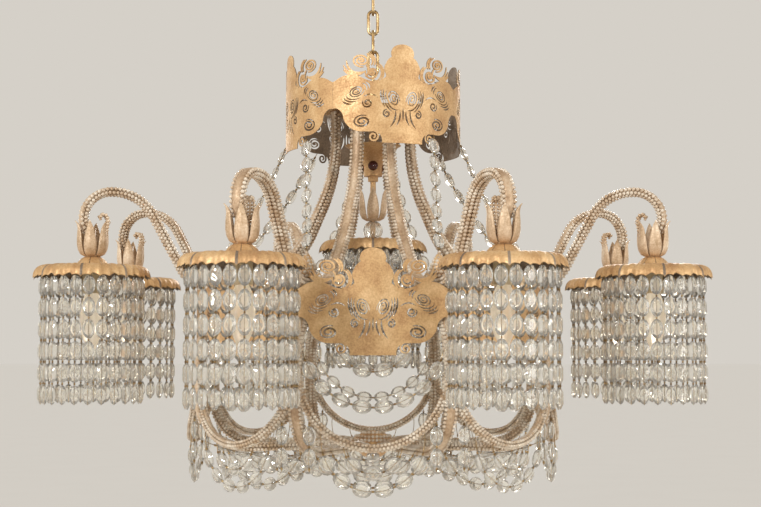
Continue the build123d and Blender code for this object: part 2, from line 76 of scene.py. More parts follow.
MM_PER_M = 1000.0
DROP = 650.0
ARM_COUNT = 8
BAY = 360.0 / ARM_COUNT
ARM_FIRST = BAY / 2
ARM_AZIMUTHS = ARM_FIRST + BAY * np.arange(ARM_COUNT)
BAY_AZIMUTHS = BAY * np.arange(ARM_COUNT)
SHADE_RADIUS = 450.0
RING_RADIUS = 279.0
CROWN_RADIUS = 140.0
SIDEWAYS = (1, 0, 0)


class Body(str, Enum):
    """The CAD bodies that new pieces ride on."""

    CHANDELIER = "chandelier"


class Slot(str, Enum):
    """The names of the record's material slots; no piece here takes its finish from them."""

    GILT = "gilt"
    CRYSTAL = "crystal"


# ---------------------------------------------------------------- shapes


@dataclass
class Patch:
    """Faces with the same number of corners, one finish and one shading."""

    corners: Array
    finish: int = 0
    smooth: bool = True


@dataclass
class Shape:
    """Points in millimetres and the patches of faces between them."""

    points: Array
    patches: list[Patch]

    def repeated(self, places: Array) -> "Shape":
        """Copies of the shape at each place.

        Args:
            places: 4 x 4 matrices, one per copy.

        Returns:
            One shape that holds all the copies.
        """
        turned = np.einsum("cij,nj->cni", places[:, :3, :3], self.points) + places[:, None, :3, 3]
        step = (np.arange(len(places)) * len(self.points))[:, None, None]
        patches = [
            Patch((p.corners[None] + step).reshape(-1, p.corners.shape[1]), p.finish, p.smooth)
            for p in self.patches
        ]
        return Shape(turned.reshape(-1, 3), patches)

    def turned(self, azimuths: Any) -> "Shape":
        """Copies of the shape, turned from the front to each azimuth."""
        return self.repeated(turns(azimuths))

    def moved(self, x: float, y: float, z: float) -> "Shape":
        """The shape moved by x, y and z."""
        return self.repeated(shift(x, y, z))


def join(shapes: Sequence[Shape]) -> Shape:
    """Several shapes as one.

    Args:
        shapes: the shapes.

    Returns:
        One shape with all their points and patches.
    """
    starts = np.cumsum([0] + [len(s.points) for s in shapes])
    patches = [Patch(p.corners + start, p.finish, p.smooth) for s, start in zip(shapes, starts) for p in s.patches]
    return Shape(np.concatenate([s.points for s in shapes]), patches)


def turns(azimuths: Any) -> Array:
    """Matrices that turn a piece from the front to each azimuth.

    Args:
        azimuths: degrees, one or several.

    Returns:
        An array of 4 x 4 matrices.
    """
    angle = np.radians(np.atleast_1d(np.asarray(azimuths, float)))
    places = np.tile(np.eye(4), (len(angle), 1, 1))
    places[:, 0, 0] = places[:, 1, 1] = np.cos(angle)
    places[:, 1, 0] = np.sin(angle)
    places[:, 0, 1] = -np.sin(angle)
    return places


def shift(x: float, y: float, z: float) -> Array:
    """One matrix, in an array, that moves a piece by x, y and z.

    Args:
        x: to the right.
        y: away from the front.
        z: upwards.

    Returns:
        An array of one 4 x 4 matrix.
    """
    place = np.eye(4)[None].copy()
    place[0, :3, 3] = (x, y, z)
    return place


def front(rho: Any, h: Any, azimuth: Any = 0.0) -> Array:
    """Points from radius, height and azimuth: x = rho sin(azimuth), y = -rho cos(azimuth), z = h."""
    angle = np.radians(azimuth)
    return np.stack(np.broadcast_arrays(rho * np.sin(angle), -rho * np.cos(angle), h), axis=-1).astype(float)


def unit(vectors: Array) -> Array:
    """The vectors at length one."""
    return vectors / np.linalg.norm(vectors, axis=-1, keepdims=True)


def around(count: int) -> tuple[Array, Array]:
    """The numbers of a closed ring of points, and for each the number of the next point."""
    number = np.arange(count)
    return number, (number + 1) % count


def lattice(rows: int, columns: int, wrap_rows: bool = False, wrap_columns: bool = True) -> Array:
    """The quads of a grid of points stored row by row.

    Args:
        rows: how many rows the grid has.
        columns: how many points a row has.
        wrap_rows: whether the last row joins the first.
        wrap_columns: whether each row closes on itself.

    Returns:
        Rows of four point numbers.
    """
    i = np.arange(rows if wrap_rows else rows - 1)[:, None]
    j = np.arange(columns if wrap_columns else columns - 1)[None, :]
    up, on = (i + 1) % rows, (j + 1) % columns
    return np.stack([i * columns + j, i * columns + on, up * columns + on, up * columns + j], -1).reshape(-1, 4)


def revolved(
    outline: Any, segments: int, finish: int = 0, smooth: bool = True, flute: Optional[Array] = None
) -> Shape:
    """An outline of (radius, height) points turned round the axis.

    A point at (r, h) becomes the ring x = r sin(a), y = -r cos(a), z = h. An outline that runs
    counter-clockwise has its faces outwards. One that starts and ends on the axis gets a pole at
    each end, and any other closes on itself.

    Args:
        outline: the points.
        segments: how many steps the ring has.
        finish: the faces' finish number.
        smooth: whether the faces are smooth shaded.
        flute: factors for the radius, one per step of the ring.

    Returns:
        The closed shape.
    """
    outline = np.asarray(outline, float)
    poles = outline[0, 0] == 0 and outline[-1, 0] == 0
    rings = outline[1:-1] if poles else outline
    number, on = around(segments)
    azimuth = 360.0 * number / segments
    factor = np.ones(segments) if flute is None else flute
    points = front(rings[:, :1] * factor[None], rings[:, 1:] + 0 * azimuth[None], azimuth[None]).reshape(-1, 3)
    patches = [Patch(lattice(len(rings), segments, wrap_rows=not poles), finish, smooth)]
    if poles:
        low = np.full(segments, len(points))
        last = (len(rings) - 1) * segments
        fans = [np.stack([low, on, number], -1), np.stack([low + 1, last + number, last + on], -1)]
        patches.append(Patch(np.concatenate(fans), finish, smooth))
        points = np.concatenate([points, [[0, 0, outline[0, 1]], [0, 0, outline[-1, 1]]]])
    return Shape(points, patches)


def frames(route: Array, across: Any) -> tuple[Array, Array, Array]:
    """Directions along a route.

    Args:
        route: points in order.
        across: the sideways direction, one or one per point.

    Returns:
        Unit arrays: sideways, face (tangent x sideways) and tangent.
    """
    tangent = unit(np.gradient(route, axis=0))
    across = np.broadcast_to(np.asarray(across, float), route.shape)
    side = unit(across - tangent * np.sum(across * tangent, axis=1, keepdims=True))
    return side, np.cross(tangent, side), tangent


def swept(route: Array, across: Any, section: Array, finish: int = 0) -> Shape:
    """A section carried along a route, closed at both ends.

    The point (u, v) of the section lands at route + u side + v face, at each point of the route.

    Args:
        route: points in order.
        across: the sideways direction.
        section: closed outline, counter-clockwise, in sideways and face directions.
        finish: the faces' finish number.

    Returns:
        The closed shape.
    """
    side, face, _ = frames(route, across)
    spread = section[None, :, :1] * side[:, None] + section[None, :, 1:] * face[:, None]
    points = (route[:, None] + spread).reshape(-1, 3)
    count = len(section)
    ends = np.stack([np.arange(count)[::-1], np.arange(count) + (len(route) - 1) * count])
    return Shape(points, [Patch(lattice(len(route), count), finish), Patch(ends, finish, False)])


def thick(outer: Array, inner: Array) -> Shape:
    """A closed sheet from two grids of points of the same size.

    Args:
        outer: rows x columns x 3 points whose quads face outwards.
        inner: the same grid on the sheet's other side.

    Returns:
        Both sides and the rim between them.
    """
    rows, columns = outer.shape[:2]
    quads = lattice(rows, columns, wrap_columns=False)
    count = rows * columns
    number = np.arange(count).reshape(rows, columns)
    rim = np.concatenate([number[0], number[1:, -1], number[-1, -2::-1], number[-2:0:-1, 0]])
    on = np.roll(rim, -1)
    sides = Patch(np.concatenate([quads, quads[:, ::-1] + count]))
    walls = Patch(np.stack([rim, rim + count, on + count, on], -1), 0, False)
    return Shape(np.concatenate([outer.reshape(-1, 3), inner.reshape(-1, 3)]), [sides, walls])


# ---------------------------------------------------------------- routes


def steps(route: Array) -> Array:
    """The distances between a route's points."""
    return np.linalg.norm(np.diff(route, axis=0), axis=1)


def length_of(route: Array) -> float:
    """The length of a route."""
    return float(np.sum(steps(route)))


def read_along(route: Array, values: Array, distances: Any) -> Array:
    """Values given at a route's points, read at distances along it."""
    far = np.concatenate([[0], np.cumsum(steps(route))])
    return np.stack([np.interp(distances, far, column) for column in values.T], -1)


def resampled(points: Any, step: float) -> Array:
    """The same route with points at equal distances near the step.

    Args:
        points: the route.
        step: wanted distance between points.

    Returns:
        Points in order.
    """
    points = np.asarray(points, float)
    length = np.cumsum(steps(points))[-1]
    return read_along(points, points, np.linspace(0, length, max(2, int(round(length / step)) + 1)))


def rounded(corners: Sequence[tuple[float, float]], radii: Sequence[float], step: float) -> Array:
    """A polyline whose inner corners are rounded.

    Each corner is replaced by the arc of its radius that touches both of its runs, at a distance
    radius / tan(half the inner angle) from the corner.

    Args:
        corners: (radius, height) points.
        radii: one radius per inner corner.
        step: distance between the points that come back.

    Returns:
        Points at the front, azimuth 0.
    """
    corners = np.asarray(corners, float)
    run = [corners[0]]
    for before, corner, after, radius in zip(corners, corners[1:], corners[2:], radii):
        back, on = unit(before - corner), unit(after - corner)
        half = np.arccos(np.clip(back @ on, -1, 1)) / 2
        centre = corner + unit(back + on) * radius / np.sin(half)
        start, end = (corner + way * radius / np.tan(half) - centre for way in (back, on))
        share = np.linspace(0, 1, 24)[:, None]
        sweep = pi - 2 * half
        run.extend(centre + (start * np.sin((1 - share) * sweep) + end * np.sin(share * sweep)) / np.sin(sweep))
    run.append(corners[-1])
    even = resampled(run, step)
    return front(even[:, 0], even[:, 1])


def arc(start: Any, middle: Any, end: Any, count: int = 49) -> Array:
    """Points on the circle through three points: centre + a cos(t) + b sin(t).

    Args:
        start: first point.
        middle: a point on the arc.
        end: last point.
        count: how many points come back.

    Returns:
        The points in order.
    """
    start, middle, end = (np.asarray(p, float) for p in (start, middle, end))
    a, b = middle - start, end - start
    normal = np.cross(a, b)
    centre = start + np.cross(b * (a @ a) - a * (b @ b), normal) / (2 * normal @ normal)
    radius = np.linalg.norm(start - centre)
    x = unit(start - centre)
    y = np.cross(unit(normal), x)
    sweep = np.arctan2((end - centre) @ y, (end - centre) @ x) % (2 * pi)
    angle = np.linspace(0, sweep, count)[:, None]
    return centre + radius * (np.cos(angle) * x + np.sin(angle) * y)


def places_along(route: Array, across: Any, distances: Any, offset: tuple[float, float] = (0.0, 0.0)) -> Array:
    """Matrices that set a piece's X, Y and Z to a route's side, face and tangent.

    Args:
        route: points in order, closely spaced.
        across: the sideways direction.
        distances: how far along the route each piece sits.
        offset: how far it sits off the route, sideways and facewards.

    Returns:
        One 4 x 4 matrix per distance.
    """
    side, face, tangent = frames(route, across)
    places = np.tile(np.eye(4), (len(np.atleast_1d(distances)), 1, 1))
    for column, direction in enumerate((side, face, tangent)):
        places[:, :3, column] = unit(read_along(route, direction, distances))
    places[:, :3, 3] = read_along(route, route + offset[0] * side + offset[1] * face, distances)
    return places


# ---------------------------------------------------------------- small repeated pieces


def bead(radius: float, length: float, finish: int = 0) -> Shape:
    """A pressed bead on the Z axis: two poles and two rings of six, its facets worn soft."""
    outline = [(0, -length / 2), (0.86 * radius, -length / 4), (radius, length / 8), (0, length / 2)]
    return revolved(outline, 6, finish)


def cut_oval(width: float, length: float, thickness: float) -> Shape:
    """A flat cut crystal, its length along Z and its flat table facing Y.

    The girdle is the oval (width/2 cos t, length/2 sin t). A table of 0.55 of its size, turned by
    half a step, stands half the thickness off it on both sides, joined by triangular facets.

    Args:
        width: across, along X.
        length: along Z.
        thickness: along Y.

    Returns:
        The closed crystal.
    """
    sides, table = 12, 0.55
    rise, edge = thickness / 2, thickness * 0.09
    angle = 2 * pi * np.arange(sides) / sides
    half = pi / sides

    def loop(scale: float, depth: float, turn: float) -> Array:
        """One oval of points at a depth.

        Args:
            scale: share of the girdle's size.
            depth: where it lies along Y.
            turn: radians that it is turned by.

        Returns:
            Its points.
        """
        x = scale * width / 2 * np.cos(angle + turn)
        z = scale * length / 2 * np.sin(angle + turn)
        return np.stack([x, np.full(sides, depth), z], -1)

    points = np.concatenate([loop(table, -rise, half), loop(1, -edge, 0), loop(1, edge, 0), loop(table, rise, half)])
    j, on = around(sides)
    a, b, c, d = (k * sides for k in range(4))
    rows = [(a + j, b + j, b + on), (a + j, b + on, a + on), (d + j, c + on, c + j), (d + j, d + on, c + on)]
    facets = np.concatenate([np.stack(row, -1) for row in rows])
    girdle = np.stack([b + j, c + j, c + on, b + on], -1)
    tables = np.stack([a + j, d + j[::-1]])
    return Shape(points, [Patch(corners, 0, False) for corners in (facets, girdle, tables)])


def wire(route: Array, across: Any, radius: float, finish: int, sides: int = 5) -> Shape:
    """A round wire along a route."""
    angle = 2 * pi * np.arange(sides) / sides
    return swept(route, across, radius * np.stack([np.cos(angle), np.sin(angle)], -1), finish)


@dataclass
class BeadedBand:
    """A flat metal band with a crowned strip on its face and rows of pressed beads round it."""

    route: Array
    across: Any = SIDEWAYS
    strip_width: float = 13.0
    crown: float = 6.8
    rows: tuple[tuple[float, float], ...] = ((-8, 3.9), (8, 3.9), (-8, -1.6), (8, -1.6), (-3.2, -4.4), (3.2, -4.4))
    bead_radius: float = 3.0
    bead_pitch: float = 5.9

    def strip(self) -> Shape:
        """The core, whose face is an arch from edge to edge: v = crown (1 - 0.35 (u / half)^2).

        Returns:
            The closed core.
        """
        half = self.strip_width / 2
        u = np.linspace(half, -half, 7)
        face = np.stack([u, self.crown * (1 - 0.35 * (u / half) ** 2)], -1)
        under = np.array([(-half + 0.5, -3.0), (half - 0.5, -3.0)])
        return swept(self.route, self.across, np.concatenate([under, face]))

    def beads(self) -> list[Shape]:
        """The rows of beads, every second pair of rows half a step along.

        Returns:
            One shape per row.
        """
        length = length_of(self.route)
        count = int(length / self.bead_pitch) - 1
        made = []
        for number, offset in enumerate(self.rows):
            start = (length - (count - 1) * self.bead_pitch) / 2 + (number // 2 % 2 - 0.5) * self.bead_pitch / 2
            spots = places_along(self.route, self.across, start + self.bead_pitch * np.arange(count), offset)
            made.append(bead(self.bead_radius, self.bead_pitch + 0.5, 1).repeated(spots))
        return made

    def shape(self) -> Shape:
        """Core and beads together."""
        return join([self.strip(), *self.beads()])


# ---------------------------------------------------------------- finishes


def linear(hex_colour: str) -> tuple[float, float, float, float]:
    """An sRGB hex colour as linear red, green, blue and alpha."""
    parts = [int(hex_colour[i : i + 2], 16) / 255 for i in (1, 3, 5)]
    return (*[c / 12.92 if c <= 0.04045 else ((c + 0.055) / 1.055) ** 2.4 for c in parts], 1.0)


def add_node(tree: bpy.types.NodeTree, kind: str, settings: dict[str, Any], inputs: dict[Any, Any]) -> bpy.types.Node:
    """Adds a node to a material or world.

    Args:
        tree: where it goes.
        kind: the node's type, such as ShaderNodeBump.
        settings: its properties.
        inputs: its sockets by name or number; another node's output is linked, a value is set.

    Returns:
        The node.
    """
    node = tree.nodes.new(kind)
    for key, value in settings.items():
        setattr(node, key, value)
    for key, value in inputs.items():
        if isinstance(value, Socket):
            tree.links.new(value, node.inputs[key])
        else:
            node.inputs[key].default_value = value
    return node


class Recipe:
    """A material in the making: one Principled shader and what feeds it."""

    def __init__(self, name: str) -> None:
        """Starts the material.

        Args:
            name: the material's name.
        """
        self.material = bpy.data.materials.new(name)
        self.material.use_nodes = True
        self.tree = self.material.node_tree
        self.shader = self.tree.nodes["Principled BSDF"]

    def noise(self, feature_mm: float, detail: float) -> Socket:
        """A noise on Object coordinates whose features are feature_mm wide, with finer layers.

        Args:
            feature_mm: width of a feature in millimetres.
            detail: how many finer layers it has.

        Returns:
            The value socket.
        """
        place = add_node(self.tree, "ShaderNodeTexCoord", {}, {}).outputs["Object"]
        inputs = {"Vector": place, "Scale": MM_PER_M / feature_mm, "Detail": detail}
        return add_node(self.tree, "ShaderNodeTexNoise", {"noise_dimensions": "3D"}, inputs).outputs["Fac"]

    def ramped(self, socket: str, driver: Socket, *stops: tuple[float, Any]) -> None:
        """Feeds a socket from a ramp.

        Args:
            socket: one of the shader's sockets.
            driver: the value that runs along the ramp.
            stops: positions, each with an sRGB hex colour or a number.
        """
        node = add_node(self.tree, "ShaderNodeValToRGB", {}, {"Fac": driver})
        scale = node.color_ramp
        while len(scale.elements) < len(stops):
            scale.elements.new(0.5)
        for element, (position, value) in zip(scale.elements, stops):
            element.position = position
            element.color = linear(value) if isinstance(value, str) else (value, value, value, 1.0)
        self.tree.links.new(node.outputs["Color"], self.shader.inputs[socket])

    def bump(self, height: Socket, strength: float, depth_mm: float) -> None:
        """Raises the surface by a height.

        Args:
            height: the height's socket.
            strength: share of the height that shows.
            depth_mm: full height.
        """
        inputs = {"Strength": strength, "Distance": depth_mm / MM_PER_M, "Height": height}
        node = add_node(self.tree, "ShaderNodeBump", {}, inputs)
        self.tree.links.new(node.outputs["Normal"], self.shader.inputs["Normal"])

    def done(self, **values: Any) -> bpy.types.Material:
        """Sets the shader's own sockets, with _ for a space in their names, and hands the material over.

        Args:
            values: the sockets' values by name.

        Returns:
            The material.
        """
        for key, value in values.items():
            self.shader.inputs[key.replace("_", " ")].default_value = value
        return self.material


@dataclass(frozen=True)
class LeafedMetal:
    """Sheet or cast metal, gilt or aged: warm patches, a satin sheen and a fine broken grain."""

    name: str
    pale: str
    middle: str
    deep: str
    metallic: float
    rough: tuple[float, float] = (0.26, 0.48)
    patch_mm: float = 34.0
    grain_mm: float = 2.6
    relief_mm: float = 0.18
    grain_share: float = 0.35

    def material(self) -> bpy.types.Material:
        """Colour from wide patches and fine grain, roughness and bump from the grain.

        Returns:
            The material.
        """
        recipe = Recipe(self.name)
        patches, grain = recipe.noise(self.patch_mm, 4.0), recipe.noise(self.grain_mm, 3.0)
        inputs = {0: self.grain_share, 2: patches, 3: grain}
        mixed = add_node(recipe.tree, "ShaderNodeMix", {"data_type": "FLOAT"}, inputs).outputs[0]
        recipe.ramped("Base Color", mixed, (0.36, self.deep), (0.50, self.middle), (0.66, self.pale))
        recipe.ramped("Roughness", grain, (0.3, self.rough[1]), (0.7, self.rough[0]))
        recipe.bump(grain, 0.6, self.relief_mm)
        return recipe.done(Metallic=self.metallic)


@dataclass(frozen=True)
class CutCrystal:
    """Glass, cut and polished: clear, bright where a facet catches a lamp, dark along its edges."""

    name: str
    tint: str
    index: float = 1.58
    through: float = 0.87
    rough: float = 0.01
    wave_mm: float = 9.0

    def material(self) -> bpy.types.Material:
        """Clear glass with a faint polishing wave in its facets.

        Returns:
            The material.
        """
        recipe = Recipe(self.name)
        recipe.bump(recipe.noise(self.wave_mm, 1.0), 0.7, 0.6)
        return recipe.done(
            Base_Color=linear(self.tint), Roughness=self.rough, IOR=self.index, Transmission_Weight=self.through
        )


@dataclass(frozen=True)
class StrungBeads:
    """Pressed glass beads strung close over gilt metal: pale, warm from what lies behind, with small glints."""

    name: str
    pale: str
    warm: str
    rough: float = 0.24
    index: float = 1.52
    through: float = 0.1
    patch_mm: float = 16.0

    def material(self) -> bpy.types.Material:
        """Colour that drifts from bead to bead under a polished glass surface.

        Returns:
            The material.
        """
        recipe = Recipe(self.name)
        recipe.ramped("Base Color", recipe.noise(self.patch_mm, 3.0), (0.38, self.warm), (0.62, self.pale))
        return recipe.done(Roughness=self.rough, IOR=self.index, Transmission_Weight=self.through)


@dataclass(frozen=True)
class FrostedGlass:
    """A finely frosted bulb, mostly seen through, with a faint warm glow."""

    name: str
    glass: str
    glow: str
    strength: float = 0.12
    rough: float = 0.3
    through: float = 0.85
    cloud_mm: float = 14.0

    def material(self) -> bpy.types.Material:
        """Cloudy glass that gives a little light of its own.

        Returns:
            The material.
        """
        recipe = Recipe(self.name)
        recipe.ramped("Base Color", recipe.noise(self.cloud_mm, 2.0), (0.35, self.glass), (0.7, self.glow))
        glow = {"Emission_Color": linear(self.glow), "Emission_Strength": self.strength}
        return recipe.done(Roughness=self.rough, Transmission_Weight=self.through, **glow)


@dataclass(frozen=True)
class MouldedPlastic:
    """Moulded plastic: an even colour with a faint moulding grain."""

    name: str
    colour: str
    shade: str
    rough: float
    cloud_mm: float = 12.0
    grain_mm: float = 1.8

    def material(self) -> bpy.types.Material:
        """Colour that drifts a little, and a fine grain in the bump.

        Returns:
            The material.
        """
        recipe = Recipe(self.name)
        recipe.ramped("Base Color", recipe.noise(self.cloud_mm, 2.0), (0.3, self.shade), (0.7, self.colour))
        recipe.bump(recipe.noise(self.grain_mm, 2.0), 0.3, 0.1)
        return recipe.done(Roughness=self.rough)


# ---------------------------------------------------------------- pieces


class Workshop:
    """Makes the finishes once, turns shapes into Blender pieces and dresses the CAD nodes that stay."""

    def __init__(self, loaded: dict[str, Any]) -> None:
        """Keeps the loaded frame and makes every finish, each with a note on what it gives the eye.
        """
        self.loaded = loaded
        # Dull warm gold in wide patches, on the pierced sheets and the canopies.
        self.leaf = LeafedMetal(
            "metal_leaf_antique_gold", "#E2C090", "#CBA473", "#B0865A", metallic=0.4, rough=(0.4, 0.62)
        ).material()
        # Leaf rubbed down to its pale ground: the ivory of the tulips.
        self.worn = LeafedMetal(
            "metal_leaf_worn_to_ivory", "#E9D8C0", "#CFB596", "#AF9270", metallic=0.3, rough=(0.42, 0.65)
        ).material()
        # The broken, dimpled sheen of the strips between the beads.
        self.strip = LeafedMetal(
            "metal_leaf_hammered_strip", "#E0CBB0", "#C3A788", "#A08264",
            metallic=0.3, rough=(0.35, 0.6), grain_mm=4.2, relief_mm=1.3,
        ).material()
        # Painted shade: brown and without shine, so that slits, the panels' rear faces and undersides read as shadow.
        self.painted_shade = LeafedMetal(
            "sheet_metal_painted_shade_brown", "#A3917D", "#8B7A68", "#6C5D4E", metallic=0.4, rough=(0.5, 0.7)
        ).material()
        # Cream beads with a warm shade between them.
        self.beads = StrungBeads("pressed_glass_beads_over_leaf", "#E9DCC9", "#C2A788").material()
        # The chain's darker yellow, a true metal shine.
        self.brass = LeafedMetal(
            "brass_cast_aged", "#DCC69C", "#B89A6C", "#8C6E46", metallic=0.95, rough=(0.25, 0.5), patch_mm=14.0
        ).material()
        # Clear ovals with dark edges and small glints.
        self.crystal = CutCrystal("lead_crystal_cut_polished", "#FFFCF4").material()
        # Thin warm lines between the ovals.
        self.pins = LeafedMetal(
            "brass_wire_drawn_pins", "#C9AE80", "#9A7E54", "#6E5636", metallic=0.95, patch_mm=8.0
        ).material()
        # One deep red point on the cup.
        self.dark_gem = CutCrystal("garnet_glass_polished", "#5A1E1C", index=1.6, through=0.6).material()
        # A soft light spot inside each curtain.
        self.bulb = FrostedGlass("soda_glass_acid_frosted_bulb", "#E9E2D6", "#F6E6CC").material()
        # A small dark part that hides inside the crown.
        self.black = MouldedPlastic("nylon_moulded_black", "#1B1B1C", "#131314", 0.45).material()
        # Yellowed holders that show between the strings.
        self.ivory = MouldedPlastic("phenolic_moulded_ivory", "#DCC8A2", "#C4AC84", 0.4).material()

    def piece(
        self,
        name: str,
        shape: Shape,
        finishes: Sequence[bpy.types.Material],
        replaced: Sequence[str],
        body: Body = Body.CHANDELIER,
    ) -> bpy.types.Object:
        """Makes one Blender object from a shape, in metres under the ceiling.

        Args:
            name: the piece's name.
            shape: its points and faces.
            finishes: the materials that the faces' finish numbers count.
            replaced: the CAD nodes that it stands for.
            body: the CAD body that it rides on.

        Returns:
            The object.
        """
        mesh = bpy.data.meshes.new(name)
        points = (shape.points - np.array([0.0, 0.0, DROP])) / MM_PER_M
        totals, finish, smooth = (
            np.concatenate([np.full(len(p.corners), value) for p, value in zip(shape.patches, values)])
            for values in zip(*((p.corners.shape[1], p.finish, p.smooth) for p in shape.patches))
        )
        loops = np.concatenate([p.corners.ravel() for p in shape.patches])
        mesh.vertices.add(len(points))
        mesh.vertices.foreach_set("co", points.astype(np.float32).ravel())
        mesh.loops.add(len(loops))
        mesh.loops.foreach_set("vertex_index", loops.astype(np.int32))
        mesh.polygons.add(len(totals))
        mesh.polygons.foreach_set("loop_start", (np.cumsum(totals) - totals).astype(np.int32))
        mesh.polygons.foreach_set("material_index", finish.astype(np.int32))
        mesh.polygons.foreach_set("use_smooth", smooth)
        for finish_made in finishes:
            mesh.materials.append(finish_made)
        mesh.update(calc_edges=True)
        mesh.validate()
        made = bpy.data.objects.new(name, mesh)
        bpy.context.scene.collection.objects.link(made)
        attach(made, body.value)
        if replaced:
            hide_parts(*replaced)
        log.info("%s: %d triangles, for %s", name, int(np.sum(totals - 2)), ", ".join(replaced))
        return made

    def dress(self, material: bpy.types.Material, *nodes: str) -> None:
        """Gives CAD nodes that stay their material.

        Args:
            material: what they get.
            nodes: their names.
        """
        for node in nodes:
            mesh = self.loaded["nodes"][node].data
            mesh.materials.clear()
            mesh.materials.append(material)
            log.info("%s: kept, in %s", node, material.name)


@dataclass
class KeptParts:
    """The CAD nodes whose shapes are right, in finer materials."""

    hanging: tuple[str, ...] = ("ceiling_plate", "ceiling_hook", "top_loop", *(f"chain_link_{k}" for k in range(1, 5)))
    leafed: tuple[str, ...] = ("stem_tube", "stem_nuts", "arm_hub", "crown_bracket", "stem_cup", "ring_spacers")
    bulbs: tuple[str, ...] = (*(f"bulb_{k}" for k in range(1, ARM_COUNT + 1)), "bulb_centre")

    def build(self, shop: Workshop) -> None:
        """Dresses each node.

        Args:
            shop: makes and dresses the pieces.
        """
        shop.dress(shop.brass, *self.hanging)
        shop.dress(shop.leaf, *self.leafed)
        shop.dress(shop.bulb, *self.bulbs)
        shop.dress(shop.dark_gem, "cup_gems")
        shop.dress(shop.black, "cord_gland")
        shop.dress(shop.ivory, "lamp_holders")


@dataclass
class Arms:
    """Eight S-shaped beaded arms with their wiring tubes and buds."""

    corners: tuple = (
        (64, 398), (64, 296), (112, 195), (172, 112), (300, 112), (378, 252), (464, 252), (464, 204), (454, 186),
    )
    radii: tuple = (240.0, 150.0, 60.0, 55.0, 68.0, 42.0, 18.0)
    tube: tuple = ((2.6, 146), (4.5, 146), (4.5, 196), (2.6, 196))
    bud_rho: float = 250.0
    bud_base: float = 119.0
    bud_core: tuple = ((0, 0), (10.5, 0), (13, 8), (12.4, 16), (9, 26), (4, 34), (0, 36))
    bud_rings: tuple = ((13.2, 3.0), (13.0, 8.6), (12.6, 14.2), (10.9, 19.6), (8.4, 24.7), (5.4, 29.3), (2.2, 33.0))
    bud_pitch: float = 5.9

    def arm(self) -> Shape:
        """One arm at the front."""
        tube = revolved(self.tube, 14).moved(0, -SHADE_RADIUS, 0)
        return join([BeadedBand(rounded(self.corners, self.radii, 6.0)).shape(), tube])

    def bud(self) -> Shape:
        """A bud of bead rings round an ovoid core: a ring holds as many beads as fit its girth.

        Returns:
            Core and beads.
        """
        parts = [revolved(np.array(self.bud_core) + [0, self.bud_base], 20)]
        for number, (radius, height) in enumerate(self.bud_rings):
            count = max(3, int(2 * pi * radius / self.bud_pitch))
            gem = bead(3.1, 6.4, 1).moved(0, -radius, self.bud_base + height)
            parts.append(gem.turned(360 / count * (np.arange(count) + 0.5 * (number % 2))))
        parts.append(bead(2.9, 6.2, 1).moved(0, 0, self.bud_base + 36.6))
        return join(parts).moved(0, -self.bud_rho, 0)

    def build(self, shop: Workshop) -> None:
        """Makes the eight arms and their buds.

        Args:
            shop: makes and dresses the pieces.
        """
        arm = self.arm()
        for number, azimuth in enumerate(ARM_AZIMUTHS, 1):
            node = f"arm_{number}"
            shop.piece(f"{node}_beaded", arm.turned(azimuth), [shop.strip, shop.beads], [node])
        buds = self.bud().turned(ARM_AZIMUTHS)
        shop.piece("arm_buds_beaded", buds, [shop.leaf, shop.beads], ["arm_buds"])


